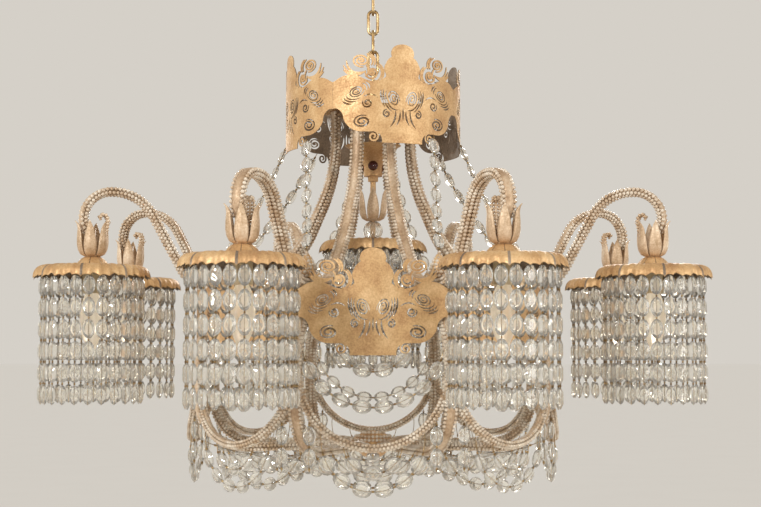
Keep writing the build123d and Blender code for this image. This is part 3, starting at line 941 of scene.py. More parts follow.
@dataclass
class Shades:
    """Nine shades: tulip, canopy and the curtain of crystal strings."""

    tulip_base: float = 154.0
    petals: int = 6
    curl_pitch: float = 4.8
    curl_rows: tuple = (-5.0, 0.0, 5.0)
    wire_radius: float = 0.55
    curl_spine: tuple = (
        (434, 168), (432, 184), (429.5, 198), (428, 208), (430, 215.5), (435.5, 218), (440, 214), (438.5, 209),
    )
    dome: tuple = (
        (5.2, 154), (10, 154), (14, 152.8), (17.5, 150.2), (20.5, 146.8), (24.0, 143.2), (30, 141.4), (40, 141),
        (50, 141), (60, 141),
    )
    plain: tuple = ((5.2, 141), (12, 141), (20, 141), (30, 141), (40, 141), (50, 141), (60, 141))
    droop: tuple = (
        (68, 141), (74, 140.4), (78, 139.0), (81.5, 136.4), (84.5, 132.4), (86.2, 127.8), (86.9, 122.0),
    )
    canopy_rim: float = 87.0
    canopy_round: float = 60.0
    canopy_bite: float = 0.03
    canopy_leaves: int = 16
    canopy_tips: int = 40
    canopy_slits: int = 8
    slit_half: float = 1.3
    slit_depth: float = 1.3
    strings: int = 24
    curtain_radius: float = 73.0
    string_top: float = 139.5
    first_row: float = 109.0
    pitch: float = 31.5
    rows: int = 5
    centre_rise: float = 51.0
    centre_tulip_rise: float = 70.0

    def petal(self) -> Shape:
        """One petal at the front.

        Up the petal, radius and height follow a bellied curve; across it, the azimuth runs over
        half-angle x v, narrowing to the tip, and the radius grows by a crown 1 - v^2 and a midrib.

        Returns:
            The closed petal.
        """
        u = np.linspace(0, 1, 15)
        knots = np.array([0, 0.14, 0.28, 0.45, 0.62, 0.8, 0.92, 1.0])
        radius = np.interp(u, knots, [11, 17.4, 20.8, 22.4, 22.4, 22.2, 24.2, 28.0])
        height = self.tulip_base + np.interp(u, knots, [0, 3.4, 10, 19.5, 31, 42, 48.5, 52.5])
        half = np.interp(u, [0, 0.2, 0.45, 0.62, 0.8, 0.93, 1], [26, 27, 25.5, 21, 13, 5, 0.8])
        v = np.linspace(-1, 1, 9)[None, :]
        crown = 1.3 * (1 - v**2) + 0.7 * np.exp(-((v / 0.16) ** 2))
        grow = np.sin(pi * np.clip(u, 0.04, 1))[:, None]
        outer = front(radius[:, None] + crown * grow, height[:, None] + 0 * v, half[:, None] * v)
        inner = front(radius[:, None] + crown * grow - 1.0, height[:, None] + 0.25 + 0 * v, half[:, None] * v)
        return thick(outer, inner)

    def tulip(self) -> Shape:
        """Six petals on a cup base, bored for the wiring tube."""
        base = revolved([(4.8, 154), (11.5, 154), (12.6, 155.4), (11.0, 157.2), (4.8, 157.2)], 30, smooth=False)
        return join([base, self.petal().turned(360.0 / self.petals * np.arange(self.petals))])

    def curl(self) -> Shape:
        """A beaded scroll inside the inner petal of an outer tulip, its tip rolled out over the arm's end.

        Returns:
            Three rows of beads and the spine.
        """
        spine = resampled(self.curl_spine, 1.5)
        route = front(spine[:, 0], spine[:, 1])
        at = self.curl_pitch * np.arange(int(length_of(route) / self.curl_pitch)) + 2
        spots = [places_along(route, SIDEWAYS, at, (side, 0)) for side in self.curl_rows]
        return join([bead(3.0, 5.4).repeated(np.concatenate(spots)), wire(route, SIDEWAYS, 2.0, 0, 6)])

    def canopy(self, domed: bool) -> Shape:
        """A leafy canopy on the axis.

        Along a radius the height follows the dome, the flat and the droop. Round the axis the rim
        reaches rim x (1 - 0.03 (1 - |cos 8a|^0.6) - 0.03 |sin 20a|): sixteen shallow leaves, fringed
        with forty narrow tips whose grooves sink by |sin 20a| towards the rim. Eight slits run
        outwards, each a groove between columns 1.3 degrees to both sides of it.

        Args:
            domed: whether it has the dome of the outer canopies.

        Returns:
            The closed sheet.
        """
        slit, wide = self.slit_half, 360.0 / self.canopy_slits
        sector = np.concatenate([[-slit, 0, slit], np.linspace(slit, wide - slit, 24)[1:-1]])
        azimuth = (wide * np.arange(self.canopy_slits)[:, None] + sector).ravel()
        radius, height = np.array([*(self.dome if domed else self.plain), *self.droop], float).T
        rho = radius[:, None]
        a = np.radians(azimuth)[None, :]
        fringe = np.abs(np.sin(self.canopy_tips / 2 * a))
        leaves = np.abs(np.cos(self.canopy_leaves / 2 * a))
        share = np.clip((rho - self.canopy_round) / (self.canopy_rim - self.canopy_round), 0, 1)
        lobes = self.canopy_bite * (1 - leaves**0.6) + self.canopy_bite * fringe
        veins = 1.1 * np.exp(-((np.cos(self.canopy_leaves / 2 * a) / 0.25) ** 2)) - 1.3 * fringe
        relief = np.clip((rho - 40) / 40, 0, 1) * veins
        hem = np.clip((rho - 80) / (self.canopy_rim - 80), 0, 1)
        notch = 3.0 * (1 - leaves**0.5) + 4.0 * fringe
        middle = np.arange(len(azimuth)) % len(sector) == 1
        groove = np.where(middle, -self.slit_depth, 0.0)[None, :] * np.clip((rho - 9) / 4, 0, 1)
        rise = height[:, None] + relief + groove + notch * hem**1.5
        outer = front(rho * (1 - lobes * share), rise, azimuth[None, :])
        inner = outer.copy()
        inner[..., 2] -= np.interp(radius, [0, 14, 22, 80, 87], [1.4, 1.4, 1.8, 1.5, 1.2])[:, None]
        columns, count = len(azimuth), len(radius) * len(azimuth)
        quads = lattice(len(radius), columns)
        j, on = around(columns)
        last = count - columns
        rim = np.stack([last + j, last + count + j, last + count + on, last + on], -1)
        hole = np.stack([j, on, count + on, count + j], -1)
        # Painted shade: the faces in each slit's groove and the whole underside take finish 1, the dark brown finish
        # that stands for shadow.
        painted_shade_grooves = (quads % columns % len(sector) <= 2).all(axis=1) & (quads // columns > 0).all(axis=1)
        patches = [
            Patch(quads[~painted_shade_grooves][:, ::-1]),
            Patch(quads[painted_shade_grooves][:, ::-1], 1, False),
            Patch(quads + count, 1),
            Patch(np.concatenate([rim, hole])),
        ]
        return Shape(np.concatenate([outer.reshape(-1, 3), inner.reshape(-1, 3)]), patches)

    def string(self) -> Shape:
        """One string at the front: five ovals and a pendant on a thin wire, with a pin over each.

        Returns:
            The string, hung at the curtain's radius.
        """
        low = self.first_row - self.rows * self.pitch
        sizes = [(18.2, 28.6)] * self.rows + [(14.8, 28.0)]
        parts = [
            cut_oval(width, length, 8.0).moved(0, 0, self.first_row - row * self.pitch)
            for row, (width, length) in enumerate(sizes)
        ]
        thin, top = self.wire_radius, self.string_top
        parts.append(revolved([(0, low - 14.6), (thin, low - 14), (thin, top), (0, top)], 4, 1))
        for row in range(self.rows + 1):
            joint = self.first_row - (row - 0.5) * self.pitch
            parts.append(revolved([(1.0, joint - 1.6), (1.7, joint), (1.0, joint + 1.6), (0.5, joint)], 6, 1))
        return join(parts).moved(0, -self.curtain_radius, 0)

    def build(self, shop: Workshop) -> None:
        """Makes the nine tulips, canopies and curtains.

        Args:
            shop: makes and dresses the pieces.
        """
        out = shift(0, -SHADE_RADIUS, 0)
        spots = np.concatenate([turns(azimuth) @ out[0] @ turns(-azimuth)[0] for azimuth in ARM_AZIMUTHS])
        over_centre = shift(0, 0, self.centre_tulip_rise)
        tulips = [self.tulip().repeated(np.concatenate([spots, over_centre])), self.curl().turned(ARM_AZIMUTHS)]
        shop.piece("tulips_petalled", join(tulips), [shop.worn], ["tulips"])
        canopies = [self.canopy(True).repeated(spots), self.canopy(False).moved(0, 0, self.centre_rise)]
        # Finish 1 is the painted shade in the canopies' slits and under them.
        shop.piece("canopies_leafed", join(canopies), [shop.leaf, shop.painted_shade], ["canopies"])
        curtain = self.string().turned(360.0 / self.strings * np.arange(self.strings))
        curtains = {f"curtain_{k}": curtain.repeated(out).turned(a) for k, a in enumerate(ARM_AZIMUTHS, 1)}
        curtains["curtain_centre"] = curtain.moved(0, 0, self.centre_rise)
        for node, hung in curtains.items():
            shop.piece(f"{node}_strings", hung, [shop.crystal, shop.pins], [node])


@dataclass
class Basket:
    """Beaded ribs, hoops and the boss under the ring."""

    foot: float = -131.0
    rib_radii: tuple = (38.0, 60.0, 72.0)
    hoop_end: float = -50.0
    hoop_end_rho: float = 284.5
    hoop_beside_rib: float = 9.0
    hoop_bottom: float = -122.0
    hoop_rho: float = 284.0
    hoop_rows: tuple = ((-5, 2.8), (5, 2.8), (-5, -2.2), (5, -2.2), (0, -4.0))
    boss_flutes: int = 16
    boss_below: tuple = ((0, -15.5), (8, -14.5), (16, -10.5), (24, -3), (30, -1), (36, 2))
    boss_above: tuple = ((37, -3), (33, 0), (28, 3), (20, 9), (10, 13.5), (0, 14.5))
    boss_rings: tuple = ((35.0, 0.5), (27.0, 5.5), (17.0, 11.5))
    boss_pitch: float = 6.2

    def rib(self) -> Shape:
        """One rib at the front."""
        corners = ((265, 105), (265, 62), (284, 30), (285, self.foot), (36, self.foot))
        return BeadedBand(rounded(corners, self.rib_radii, 6.0)).shape()

    def hoop_route(self) -> Array:
        """The middle line of the U in the front bay: the circle through its ends and its lowest point.

        Returns:
            Points from the right end to the left.
        """
        across = np.array([np.cos(radians(ARM_FIRST)), np.sin(radians(ARM_FIRST)), 0])
        right = front(self.hoop_end_rho, self.hoop_end, ARM_FIRST) - self.hoop_beside_rib * across
        return arc(right, front(self.hoop_rho, self.hoop_bottom), right * [-1, 1, 1])

    def hoop(self) -> Shape:
        """One beaded U.

        Returns:
            Strip and beads.
        """
        route = resampled(self.hoop_route(), 4.0)
        normal = np.cross(route[1] - route[0], route[-1] - route[0])
        across = unit(normal) * np.sign(normal[1]) * -1
        band = BeadedBand(route, across, 7.0, 6.0, self.hoop_rows, bead_radius=2.8, bead_pitch=5.5)
        return band.shape()

    def boss(self) -> Shape:
        """A gadrooned boss: the outline's radius is multiplied by 1 + 0.035 cos 16a.

        Returns:
            The fluted body with its three bead rings.
        """
        segments = 96
        flute = 1 + 0.035 * np.cos(self.boss_flutes * (2 * pi * np.arange(segments) / segments))
        low, high = self.foot - 7, self.foot + 7
        outline = [(r, low + h) for r, h in self.boss_below] + [(r, high + h) for r, h in self.boss_above]
        parts = [revolved(outline, segments, flute=flute)]
        for radius, height in self.boss_rings:
            count = int(2 * pi * radius / self.boss_pitch)
            parts.append(bead(2.9, 6.0, 1).moved(0, -radius, high + height).turned(360 / count * np.arange(count)))
        return join(parts)

    def build(self, shop: Workshop) -> None:
        """Makes ribs, hoops and boss.

        Args:
            shop: makes and dresses the pieces.
        """
        banded = [shop.strip, shop.beads]
        shop.piece("basket_ribs_beaded", self.rib().turned(ARM_AZIMUTHS), banded, ["basket_ribs"])
        shop.piece("basket_hoops_beaded", self.hoop().turned(BAY_AZIMUTHS), banded, ["basket_hoops"])
        shop.piece("basket_boss_fluted", self.boss(), [shop.leaf, shop.beads], ["basket_boss"])


@dataclass
class Garlands:
    """Oval crystals strung on wire: strands, swags and drops, and the crystal ball."""

    pitch: float = 31.0
    bite: float = 1.5
    beside_rib: float = 9.5
    crown_rho: float = 139.25
    bud_rho: float = 250.0
    bud_h: float = 157.5
    crown_sag: float = 16.0
    ring_reach: float = 56.0
    crown_runs: tuple = (
        (42, 22.5, 348.5), (86, 67.5, 348.5), (132, 112.5, 348.5), (170, 157.5, 348.5),
        (-48, -22.5, 348.5), (-94, -67.5, 348.5), (-138, -112.5, 348.5), (-171, -157.5, 331.5),
    )
    floor_rows: tuple = ((244.0, 50.0, 6), (186.0, 40.0, 4), (128.0, 36.0, 3))
    ball_h: float = 208.0
    basket: Basket = field(default_factory=Basket)

    def strand(self, route: Array, count: int, facing: Optional[Array] = None) -> Shape:
        """Ovals at even steps about a route's middle, with a pin at both ends of each.

        Args:
            route: closely spaced points.
            count: how many ovals it carries.
            facing: where the ovals' flat sides look.

        Returns:
            Wire, ovals and pins.
        """
        facing = route[len(route) // 2] * [1, 1, 0] if facing is None else facing
        across = np.cross(facing, unit(np.gradient(route, axis=0)))
        length = length_of(route)
        spots = length / 2 + self.pitch * (np.arange(count) - (count - 1) / 2)
        gems = cut_oval(20.0, 28.0, 8.6).repeated(places_along(route, across, spots))
        joints = length / 2 + self.pitch * (np.arange(count + 1) - count / 2)
        link = revolved([(0, -3.0), (1.5, -1.4), (1.9, 0), (1.5, 1.4), (0, 3.0)], 6, 1, smooth=False)
        links = link.repeated(places_along(route, across, np.clip(joints, 1, length - 1)))
        return join([wire(route, across, 0.6, 1), gems, links])

    def slung(self, start: Array, end: Array, sag: float, count: int) -> Shape:
        """A strand in an arc that hangs below the straight line."""
        return self.strand(arc(start, (start + end) / 2 - [0, 0, sag], end), count)

    def crown(self) -> Shape:
        """Eight strands from the crown's lower scrolls to the buds."""
        runs = [
            (front(self.crown_rho, h, crown), front(self.bud_rho, self.bud_h, arm)) for crown, arm, h in self.crown_runs
        ]
        return join([self.slung(start, end, self.crown_sag, 7) for start, end in runs])

    def ring_swag(self) -> Shape:
        """Under a ring panel."""
        reach = np.degrees(self.ring_reach / RING_RADIUS)
        return self.strand(arc(front(278.25, 26.5, -reach), front(273, -15), front(278.25, 26.5, reach)), 4)

    def band_swag(self) -> Shape:
        """From rib to rib."""
        side = ARM_FIRST - np.degrees(self.beside_rib / 284.0)
        return self.strand(arc(front(284, 15, -side), front(279, -65), front(284, 15, side)), 8)

    def under_hoop(self, place: float, off: float) -> Array:
        """A point off the hoop's middle line, at a share of its length.

        Args:
            place: share of the hoop's length, from its right end.
            off: how far below the line.

        Returns:
            The point.
        """
        route = self.basket.hoop_route()
        spot = places_along(route, (0, 1, 0), [place * length_of(route)])[0]
        inwards = np.cross(spot[:3, 2], np.cross(route[0] - route[24], route[-1] - route[24]))
        out = unit(inwards) * off
        return spot[:3, 3] + (out if out[2] < 0 else -out)

    def hoop_swag(self, place: float, bottom: float, count: int) -> Shape:
        """Under a hoop, between equal shares from its ends."""
        start, end = self.under_hoop(place, 5.5), self.under_hoop(1 - place, 5.5)
        return self.strand(arc(start, [0, (start[1] + end[1]) / 2 - 2, bottom], end), count)

    def drop(self, place: float) -> Shape:
        """Two ovals straight down from a hoop."""
        top = self.under_hoop(place, 0.0) - [0, 0, 12.0]
        return self.strand(resampled([top, top - [0, 0, 70.0]], 2.0), 2)

    def bowl(self) -> Shape:
        """From a hoop in to the boss, along the basket's floor.

        Returns:
            The strand, its ovals lying flat.
        """
        boss = 36.0 / np.cos(radians(ARM_FIRST)) - self.bite
        route = arc(front(278.5, -122), front(160, -150), front(boss, -131))
        return self.strand(route, 6, np.array([0.0, 0.0, 1.0]))

    def floor_swag(self, rho: float, sag: float, count: int) -> Shape:
        """Between two ribs' lower runs, at a distance from the axis.

        Args:
            rho: distance from the axis.
            sag: how far it hangs down.
            count: how many ovals it carries.

        Returns:
            The strand.
        """
        side = ARM_FIRST - np.degrees(self.beside_rib / rho)
        foot = self.basket.foot
        return self.slung(front(rho, foot, -side), front(rho, foot, side), sag, count)

    def ball(self) -> Shape:
        """The faceted ball over the middle canopy, bored for the stem.

        Returns:
            The closed ball.
        """
        bore, radius, middle = 5.0, 16, self.ball_h
        t = np.linspace(-0.5, 0.5, 10) * pi * 0.82
        round_side = [(radius * np.cos(a), middle + radius * np.sin(a)) for a in t]
        return revolved([(bore, middle - 15.1), *round_side, (bore, middle + 15.1)], 14, smooth=False)

    def build(self, shop: Workshop) -> None:
        """Makes every garland and the ball.

        Args:
            shop: makes and dresses the pieces.
        """
        bays = {
            "ring_swags": self.ring_swag(),
            "band_swags": self.band_swag(),
            "hoop_outer_swags": self.hoop_swag(0.22, -182.0, 6),
            "hoop_inner_swags": self.hoop_swag(0.35, -157.0, 3),
            "hoop_drops": join([self.drop(0.1), self.drop(0.9)]),
            "bowl_strands": join([self.bowl(), *(self.floor_swag(*row) for row in self.floor_rows)]),
        }
        made = {"crown_strands": self.crown()}
        made.update({node: shape.turned(BAY_AZIMUTHS) for node, shape in bays.items()})
        made["centre_ball"] = self.ball()
        for node, shape in made.items():
            shop.piece(f"{node}_cut", shape, [shop.crystal, shop.pins], [node])


# ---------------------------------------------------------------- pierced panels


@dataclass(frozen=True)
class Oval:
    """A tilted oval in the sheet's plane, which scrolls wind into and leaves are laid round."""

    centre: tuple[float, float]
    half: tuple[float, float]
    tilt: float = 0.0

    def at(self, angle: Array, share: Any) -> Array:
        """Points at centre + share (half-width cos, half-height sin)(angle), turned by the tilt.

        Args:
            angle: radians.
            share: of the oval's size.

        Returns:
            One point per angle.
        """
        x, y = self.half[0] * share * np.cos(angle), self.half[1] * share * np.sin(angle)
        c, s = np.cos(radians(self.tilt)), np.sin(radians(self.tilt))
        return np.stack([self.centre[0] + x * c - y * s, self.centre[1] + x * s + y * c], -1)

    def spiral(self, rounds: float, start: float, inner: float) -> Array:
        """A spiral from the oval inwards.

        Args:
            rounds: how many turns it makes, counter-clockwise, or clockwise below zero.
            start: degrees of its outer end.
            inner: the share of the oval's size at which it ends.

        Returns:
            Points from the outside in.
        """
        t = np.linspace(0, 1, int(18 * abs(rounds)) + 2)
        return self.at(radians(start) + 2 * pi * rounds * t, 1 - (1 - inner) * t)

    def leaf(self, share: float, first: float, last: float) -> Array:
        """The line of a leaf laid round the oval at a share of its size, between two angles in degrees."""
        return self.at(np.radians(np.linspace(first, last, 13)), share)


def bent(start: tuple[float, float], end: tuple[float, float], bulge: float, count: int = 9) -> Array:
    """A line from start to end that bows to its left: straight + bulge 4 t (1 - t) normal.

    Args:
        start: first point.
        end: last point.
        bulge: how far it bows, as a share of its length.
        count: how many points come back.

    Returns:
        Points in order.
    """
    start, end = np.array(start, float), np.array(end, float)
    t = np.linspace(0, 1, count)[:, None]
    normal = np.array([start[1] - end[1], end[0] - start[0]])
    return start + (end - start) * t + normal * bulge * 4 * t * (1 - t)


def stroke(path: Array, width: float, taper: float = 0.5, ends: float = 0.12) -> Array:
    """The outline of a line whose width is width x (ends + (1 - ends) sin(pi t)^taper).

    Args:
        path: the middle line.
        width: at its widest, in millimetres.
        taper: how soon it narrows; small is late.
        ends: share of the width that its ends keep.

    Returns:
        A closed outline.
    """
    t = np.linspace(0, 1, len(path))
    half = width / 2 * (ends + (1 - ends) * np.clip(np.sin(pi * t), 0, 1) ** taper)
    tangent = unit(np.gradient(path, axis=0))
    normal = np.stack([-tangent[:, 1], tangent[:, 0]], -1) * half[:, None]
    return np.concatenate([path + normal, (path - normal)[::-1]])


def leaves(oval: Oval, rows: Sequence[tuple], taper: float = 0.8, ends: float = 0.12) -> list[Array]:
    """Strokes laid round an oval, one per row of share, first angle, last angle and width."""
    return [stroke(oval.leaf(share, first, last), width, taper, ends) for share, first, last, width in rows]


def inside(points: Array, outline: Array) -> Array:
    """Which points lie in a closed outline: an odd number of its edges pass to their right.

    Args:
        points: the points to test.
        outline: corners in order.

    Returns:
        One truth value per point.
    """
    x, y = points[:, :1], points[:, 1:]
    a, b = outline, np.roll(outline, -1, axis=0)
    crosses = (a[:, 1] > y) != (b[:, 1] > y)
    rise = np.where(b[:, 1] == a[:, 1], 1e-12, b[:, 1] - a[:, 1])
    return np.sum(crosses & (x < a[:, 0] + (y - a[:, 1]) * (b[:, 0] - a[:, 0]) / rise), axis=1) % 2 == 1


def mirrored(outlines: Sequence[Array]) -> list[Array]:
    """The outlines and their mirror images about the panel's middle line."""
    return list(outlines) + [o[::-1] * [-1, 1] for o in outlines]


@dataclass
class Panels:
    """The pierced crown and ring: one panel drawn flat, cut through, and bent to two radii."""

    half: float = 109.8
    sheet: float = 1.5
    grid: tuple[float, float] = (5.0, 7.0)
    ring_foot: float = 8.0
    crown_foot: float = 330.0
    crown_turn: float = 19.0
    crown_panels: int = 4

    def body(self) -> Array:
        """The sheet's outline with its cartouche, half drawn and mirrored.

        Returns:
            A closed outline, counter-clockwise.
        """

        def bow(a: tuple, m: tuple, b: tuple, count: int = 8) -> Array:
            """An arc in the sheet's plane."""
            return arc((*a, 0), (*m, 0), (*b, 0), count)[:, :2]

        side = np.concatenate(
            [
                [(0, 0), (16, 0), (33, 0)],
                bow((33, 0), (35, 11), (44, 17))[1:],
                [(53, 17), (62, 17)],
                bow((62, 17), (80, 22), (92, 36))[1:],
                bow((92, 36), (96, 48), (104, 54))[1:],
                [(self.half, 54), (self.half, 95)],
                bow((106, 96.5), (86, 104.5), (60, 98)),
                bow((60, 98), (47, 94), (34, 94))[1:],
                bow((34, 94), (28, 98), (27, 106))[1:],
                bow((27, 106), (29.4, 114), (26.5, 122))[1:],
                bow((26.5, 122), (23, 128), (17.5, 132))[1:],
                bow((17.5, 132), (17.5, 143), (10, 150))[1:],
                [(5, 151.5), (0, 152)],
            ]
        )
        return np.concatenate([side, side[-2:0:-1] * [-1, 1]])

    def scrolls(self) -> list[Array]:
        """The openwork that stands on the upper edge and the small scrolls under the lower one, as ribbons.

        Returns:
            Closed outlines that are added to the body.
        """
        high, low = Oval((64.5, 125.8), (13.8, 9.8), 8), Oval((48.0, 107), (10.6, 10.6))
        made = [
            stroke(high.spiral(2.2, 250, 0.12), 2.9, 0.3, 0.6),
            stroke(low.spiral(-1.5, 20, 0.18), 2.9, 0.3, 0.6),
            stroke(bent((58, 101), (57, 119), 0.25), 3.0, 0.3, 0.8),
            stroke(Oval((64.5, 125.8), (2.6, 2.2)).spiral(0.95, 0, 0.7), 2.6, 0.1, 0.9),
            stroke(Oval((48.0, 106.5), (3.4, 3.4)).spiral(0.95, 0, 0.7), 4.0, 0.1, 0.9),
            stroke(Oval((46.0, 9.4), (8.4, 8.6)).spiral(1.5, 95, 0.2), 2.6, 0.3, 0.6),
        ]
        for tip, bulge in (((88, 127), 0.30), ((93, 120), 0.26), ((93, 113), 0.20), ((88, 107.5), 0.14)):
            made.append(stroke(bent((59, 109), tip, -bulge, 11), 4.2, 0.8, 0.3))
        made += leaves(high, [(1.28, 205, 112, 3.2), (1.54, 200, 124, 3.2)], 0.6, 0.4)
        made += leaves(low, [(1.38, 240, 112, 3.0), (1.66, 236, 128, 3.0)], 0.6, 0.4)
        made.append(stroke(bent((27, 100), (44, 95), -0.2), 3.2, 0.3, 0.6))
        return mirrored(made)

    def piercings(self) -> list[Array]:
        """The palmette, the side scrolls with leaves laid round them, and the lower oval scrolls, as slits.

        Returns:
            Closed outlines that are cut out.
        """
        eye, curl = Oval((14.6, 67.5), (8.6, 13.4), -23.0), Oval((72.0, 78.8), (13.0, 8.5), -25.0)
        made = [
            stroke(eye.spiral(-2.4, 215, 0.12), 2.4, 0.4, 0.4),
            stroke(Oval((25.6, 44.6), (6.0, 6.4)).spiral(-1.35, 95, 0.22), 2.9, 0.4, 0.3),
            stroke(curl.spiral(2.4, 200, 0.12), 2.2, 0.4, 0.4),
            stroke(Oval((55, 60.6), (7.8, 7.4)).spiral(-1.5, 30, 0.2), 2.9, 0.4, 0.3),
            stroke(Oval((63, 32.5), (14.4, 9.6), -4).spiral(-2.0, 120, 0.16), 3.0, 0.4, 0.3),
            stroke(bent((12.0, 50.5), (21, 23.5), -0.12, 11), 3.0, 0.8),
            stroke(bent((5.0, 49.5), (10.5, 27.0), -0.10, 9), 2.8, 0.8),
            stroke(bent((61, 70.2), (38.4, 68.4), -0.2, 11), 2.2, 0.8),
        ]
        made += leaves(eye, [(1.34, 64, -92, 2.5), (1.73, 56, -46, 2.9), (2.12, 46, -14, 3.1)])
        made += leaves(curl, [(1.34, 14, -98, 2.2), (1.70, 2, -76, 2.6), (2.06, -12, -58, 2.8)])
        made += leaves(curl, [(1.32, 212, 140, 2.2), (1.64, 200, 150, 2.6)])
        middle = stroke(np.array([(0, 54.0), (0, 47), (0, 40), (0, 33)]) + [0.01, 0], 2.8, 0.8)
        return mirrored(made) + [middle]

    def flat(self) -> tuple[Array, Array]:
        """Triangulates the sheet with every outline as an edge.

        A triangle stays where its middle lies in the body or a scroll, and in no piercing.

        Returns:
            Points along and up the sheet, and triangles.
        """
        metal, holes = [self.body(), *self.scrolls()], self.piercings()
        outlines = metal + holes
        starts = np.cumsum([0] + [len(o) for o in outlines])
        edges = np.concatenate([np.stack(around(len(o)), -1) + start for o, start in zip(outlines, starts)])
        s = np.arange(-self.half + 0.3, self.half, self.grid[0])
        y = np.arange(1.3, 151, self.grid[1])
        inner = np.stack(np.meshgrid(s, y), -1).reshape(-1, 2)
        points = [Vector(p) for p in np.concatenate(outlines + [inner])]
        result = delaunay_2d_cdt(points, edges.tolist(), [], 0, 1e-5)
        corners = np.array([tuple(p) for p in result[0]])
        triangles = np.array(result[2])
        middles = corners[triangles].mean(axis=1)
        solid, open_air = (np.any([inside(middles, o) for o in group], axis=0) for group in (metal, holes))
        triangles = triangles[solid & ~open_air]
        a, b, c = (corners[triangles[:, k]] for k in range(3))
        area = (b[:, 0] - a[:, 0]) * (c[:, 1] - a[:, 1]) - (b[:, 1] - a[:, 1]) * (c[:, 0] - a[:, 0])
        triangles = np.where(area[:, None] < 0, triangles[:, ::-1], triangles)[np.abs(area) > 1e-6]
        used, numbers = np.unique(triangles, return_inverse=True)
        return corners[used], numbers.reshape(-1, 3)

    def panel(self, radius: float, bottom: float) -> Shape:
        """One panel bent to a radius: azimuth = s / radius, with walls along every cut edge.

        Args:
            radius: of its outer face.
            bottom: height of its lower edge.

        Returns:
            The closed sheet at the front.
        """
        points, triangles = self.flat()
        azimuth = np.degrees(points[:, 0] / radius)
        h = bottom + points[:, 1]
        outer, inner = front(radius, h, azimuth), front(radius - self.sheet, h, azimuth)
        count = len(points)
        a, b = np.concatenate([triangles[:, [0, 1]], triangles[:, [1, 2]], triangles[:, [2, 0]]]).T.astype(np.int64)
        cut = ~np.isin(a * count + b, b * count + a)
        a, b = a[cut], b[cut]
        walls = np.stack([a, a + count, b + count, b], -1)
        # Painted shade: the panel's rear face and the walls of every cut take finish 1, the dark brown finish that
        # stands for shadow.
        patches = [Patch(triangles, 0, False), Patch(triangles[:, ::-1] + count, 1, False), Patch(walls, 1, False)]
        return Shape(np.concatenate([outer, inner]), patches)

    def build(self, shop: Workshop) -> None:
        """Makes the ring of eight panels and the crown of four.

        Args:
            shop: makes and dresses the pieces.
        """
        # Finish 1 is the painted shade on the panels' rear faces and cut walls.
        finishes = [shop.leaf, shop.painted_shade]
        ring = self.panel(RING_RADIUS, self.ring_foot).turned(BAY_AZIMUTHS)
        shop.piece("ring_panels_pierced", ring, finishes, ["ring_panels"])
        quarters = self.crown_turn + 360.0 / self.crown_panels * np.arange(self.crown_panels)
        crown = self.panel(CROWN_RADIUS, self.crown_foot).turned(quarters)
        shop.piece("crown_panels_pierced", crown, finishes, ["crown_panels"])


# ---------------------------------------------------------------- studio


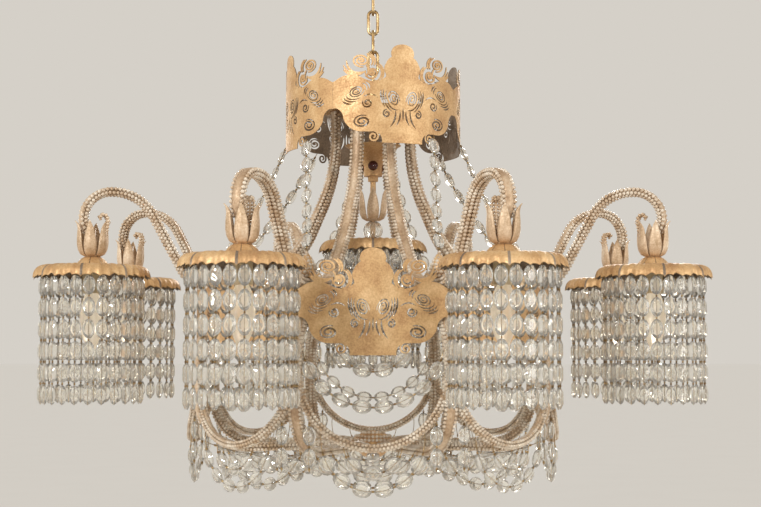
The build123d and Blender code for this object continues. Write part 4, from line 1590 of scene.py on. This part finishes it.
@dataclass
class Studio:
    """Pale floor, soft lamps and the photograph's camera."""

    image_width: int = 761
    image_height: int = 507
    sensor_mm: float = 36.0
    focal_px: float = 1483.0
    axis_x: float = 373.0
    level_y: float = 361.0
    distance: float = 2.367
    floor_z: float = -2.6
    floor_reach: float = 900.0
    backdrop: str = "#D5D0C8"
    backdrop_share: float = 0.7
    paint: tuple[str, str] = ("#F1EEE9", "#F5F2ED")
    aim: tuple = (0, 0, -0.55)
    lamps: tuple = (
        ("key_lamp", (-2.0, -3.2, 0.9), (0.7, 0.7), 62.0),
        ("fill_lamp", (2.8, -2.4, 0.0), (1.0, 1.6), 25.0),
        ("rim_lamp", (0.8, 3.0, 0.8), (1.4, 0.8), 45.0),
    )
    glint_azimuths: tuple = (-75, -48, -22, 14, 40, 68, 100, 150, -150, -110)
    glint_distance: float = 3.1
    glint_size: tuple[float, float] = (0.1, 0.1)
    glint_power: float = 5.0

    def camera(self) -> None:
        """A camera at the level line that looks up until that line lies at level_y."""
        data = bpy.data.cameras.new("photo_camera")
        data.sensor_width = self.sensor_mm
        data.lens = self.sensor_mm * self.focal_px / self.image_width
        camera = bpy.data.objects.new("photo_camera", data)
        up = atan((self.level_y - self.image_height / 2) / self.focal_px)
        right = atan((self.image_width / 2 - self.axis_x) / self.focal_px)
        camera.location = (0.0, -self.distance, -DROP / MM_PER_M)
        camera.rotation_euler = (pi / 2 + up, 0.0, -right)
        bpy.context.scene.collection.objects.link(camera)
        bpy.context.scene.camera = camera

    def world(self) -> None:
        """The pale backdrop, which also gives the plain light."""
        world = bpy.data.worlds.new("studio_world")
        bpy.context.scene.world = world
        world.use_nodes = True
        background = world.node_tree.nodes["Background"]
        background.inputs["Color"].default_value = linear(self.backdrop)
        background.inputs["Strength"].default_value = 1.0

    def floor_paint(self) -> bpy.types.Material:
        """Matt paint that camera, gloss and glass see mostly as the backdrop, so that its edge stays faint.

        Returns:
            The material.
        """
        recipe = Recipe("studio_floor_painted")
        recipe.ramped("Base Color", recipe.noise(900.0, 1.0), (0.3, self.paint[0]), (0.7, self.paint[1]))
        tree = recipe.tree
        seen = add_node(tree, "ShaderNodeLightPath", {}, {}).outputs

        def maths(operation: str, first: Any, second: Any) -> Socket:
            """The result of one operation on two values."""
            return add_node(tree, "ShaderNodeMath", {"operation": operation}, {0: first, 1: second}).outputs[0]

        either = maths("MAXIMUM", seen["Is Camera Ray"], seen["Is Glossy Ray"])
        either = maths("MAXIMUM", either, seen["Is Transmission Ray"])
        share = maths("MULTIPLY", either, self.backdrop_share)
        glow = add_node(tree, "ShaderNodeEmission", {}, {"Color": linear(self.backdrop), "Strength": 1.0})
        inputs = {0: share, 1: recipe.shader.outputs[0], 2: glow.outputs[0]}
        both = add_node(tree, "ShaderNodeMixShader", {}, inputs)
        tree.links.new(both.outputs[0], tree.nodes["Material Output"].inputs["Surface"])
        return recipe.done(Roughness=0.9)

    def floor(self) -> None:
        """A wide pale floor, far under the chandelier."""
        mesh = bpy.data.meshes.new("studio_floor")
        reach, z = self.floor_reach, self.floor_z
        corners = [(-reach, -reach, z), (reach, -reach, z), (reach, reach, z), (-reach, reach, z)]
        mesh.from_pydata(corners, [], [(0, 1, 2, 3)])
        floor = bpy.data.objects.new("studio_floor", mesh)
        bpy.context.scene.collection.objects.link(floor)
        mesh.materials.append(self.floor_paint())

    def lamp(self, name: str, place: tuple, size: tuple[float, float], power: float) -> None:
        """A soft rectangular lamp aimed at the object.

        Args:
            name: the lamp's name.
            place: where it stands, in metres.
            size: its width and height in metres.
            power: watts.
        """
        data = bpy.data.lights.new(name, "AREA")
        data.shape = "RECTANGLE"
        data.size, data.size_y = size
        data.energy = power
        lamp = bpy.data.objects.new(name, data)
        lamp.location = place
        lamp.rotation_euler = (Vector(self.aim) - Vector(place)).to_track_quat("-Z", "Y").to_euler()
        bpy.context.scene.collection.objects.link(lamp)

    def build(self) -> None:
        """Sets camera, world, floor and lamps."""
        self.camera()
        self.world()
        self.floor()
        for lamp in self.lamps:
            self.lamp(*lamp)
        for number, azimuth in enumerate(self.glint_azimuths):
            place = tuple(front(self.glint_distance, -0.9 + 0.5 * (number % 3), azimuth))
            self.lamp(f"glint_lamp_{number + 1}", place, self.glint_size, self.glint_power)
        bpy.context.scene.view_settings.view_transform = "Standard"


def main() -> None:
    """Builds every sub-assembly around the frame, then the studio."""
    logging.basicConfig(level=logging.INFO, format="%(name)s: %(message)s")
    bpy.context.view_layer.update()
    shop = Workshop(frame)
    KeptParts().build(shop)
    Panels().build(shop)
    Arms().build(shop)
    Shades().build(shop)
    Basket().build(shop)
    Garlands().build(shop)
    Studio().build()


if __name__ == "__main__":
    main()
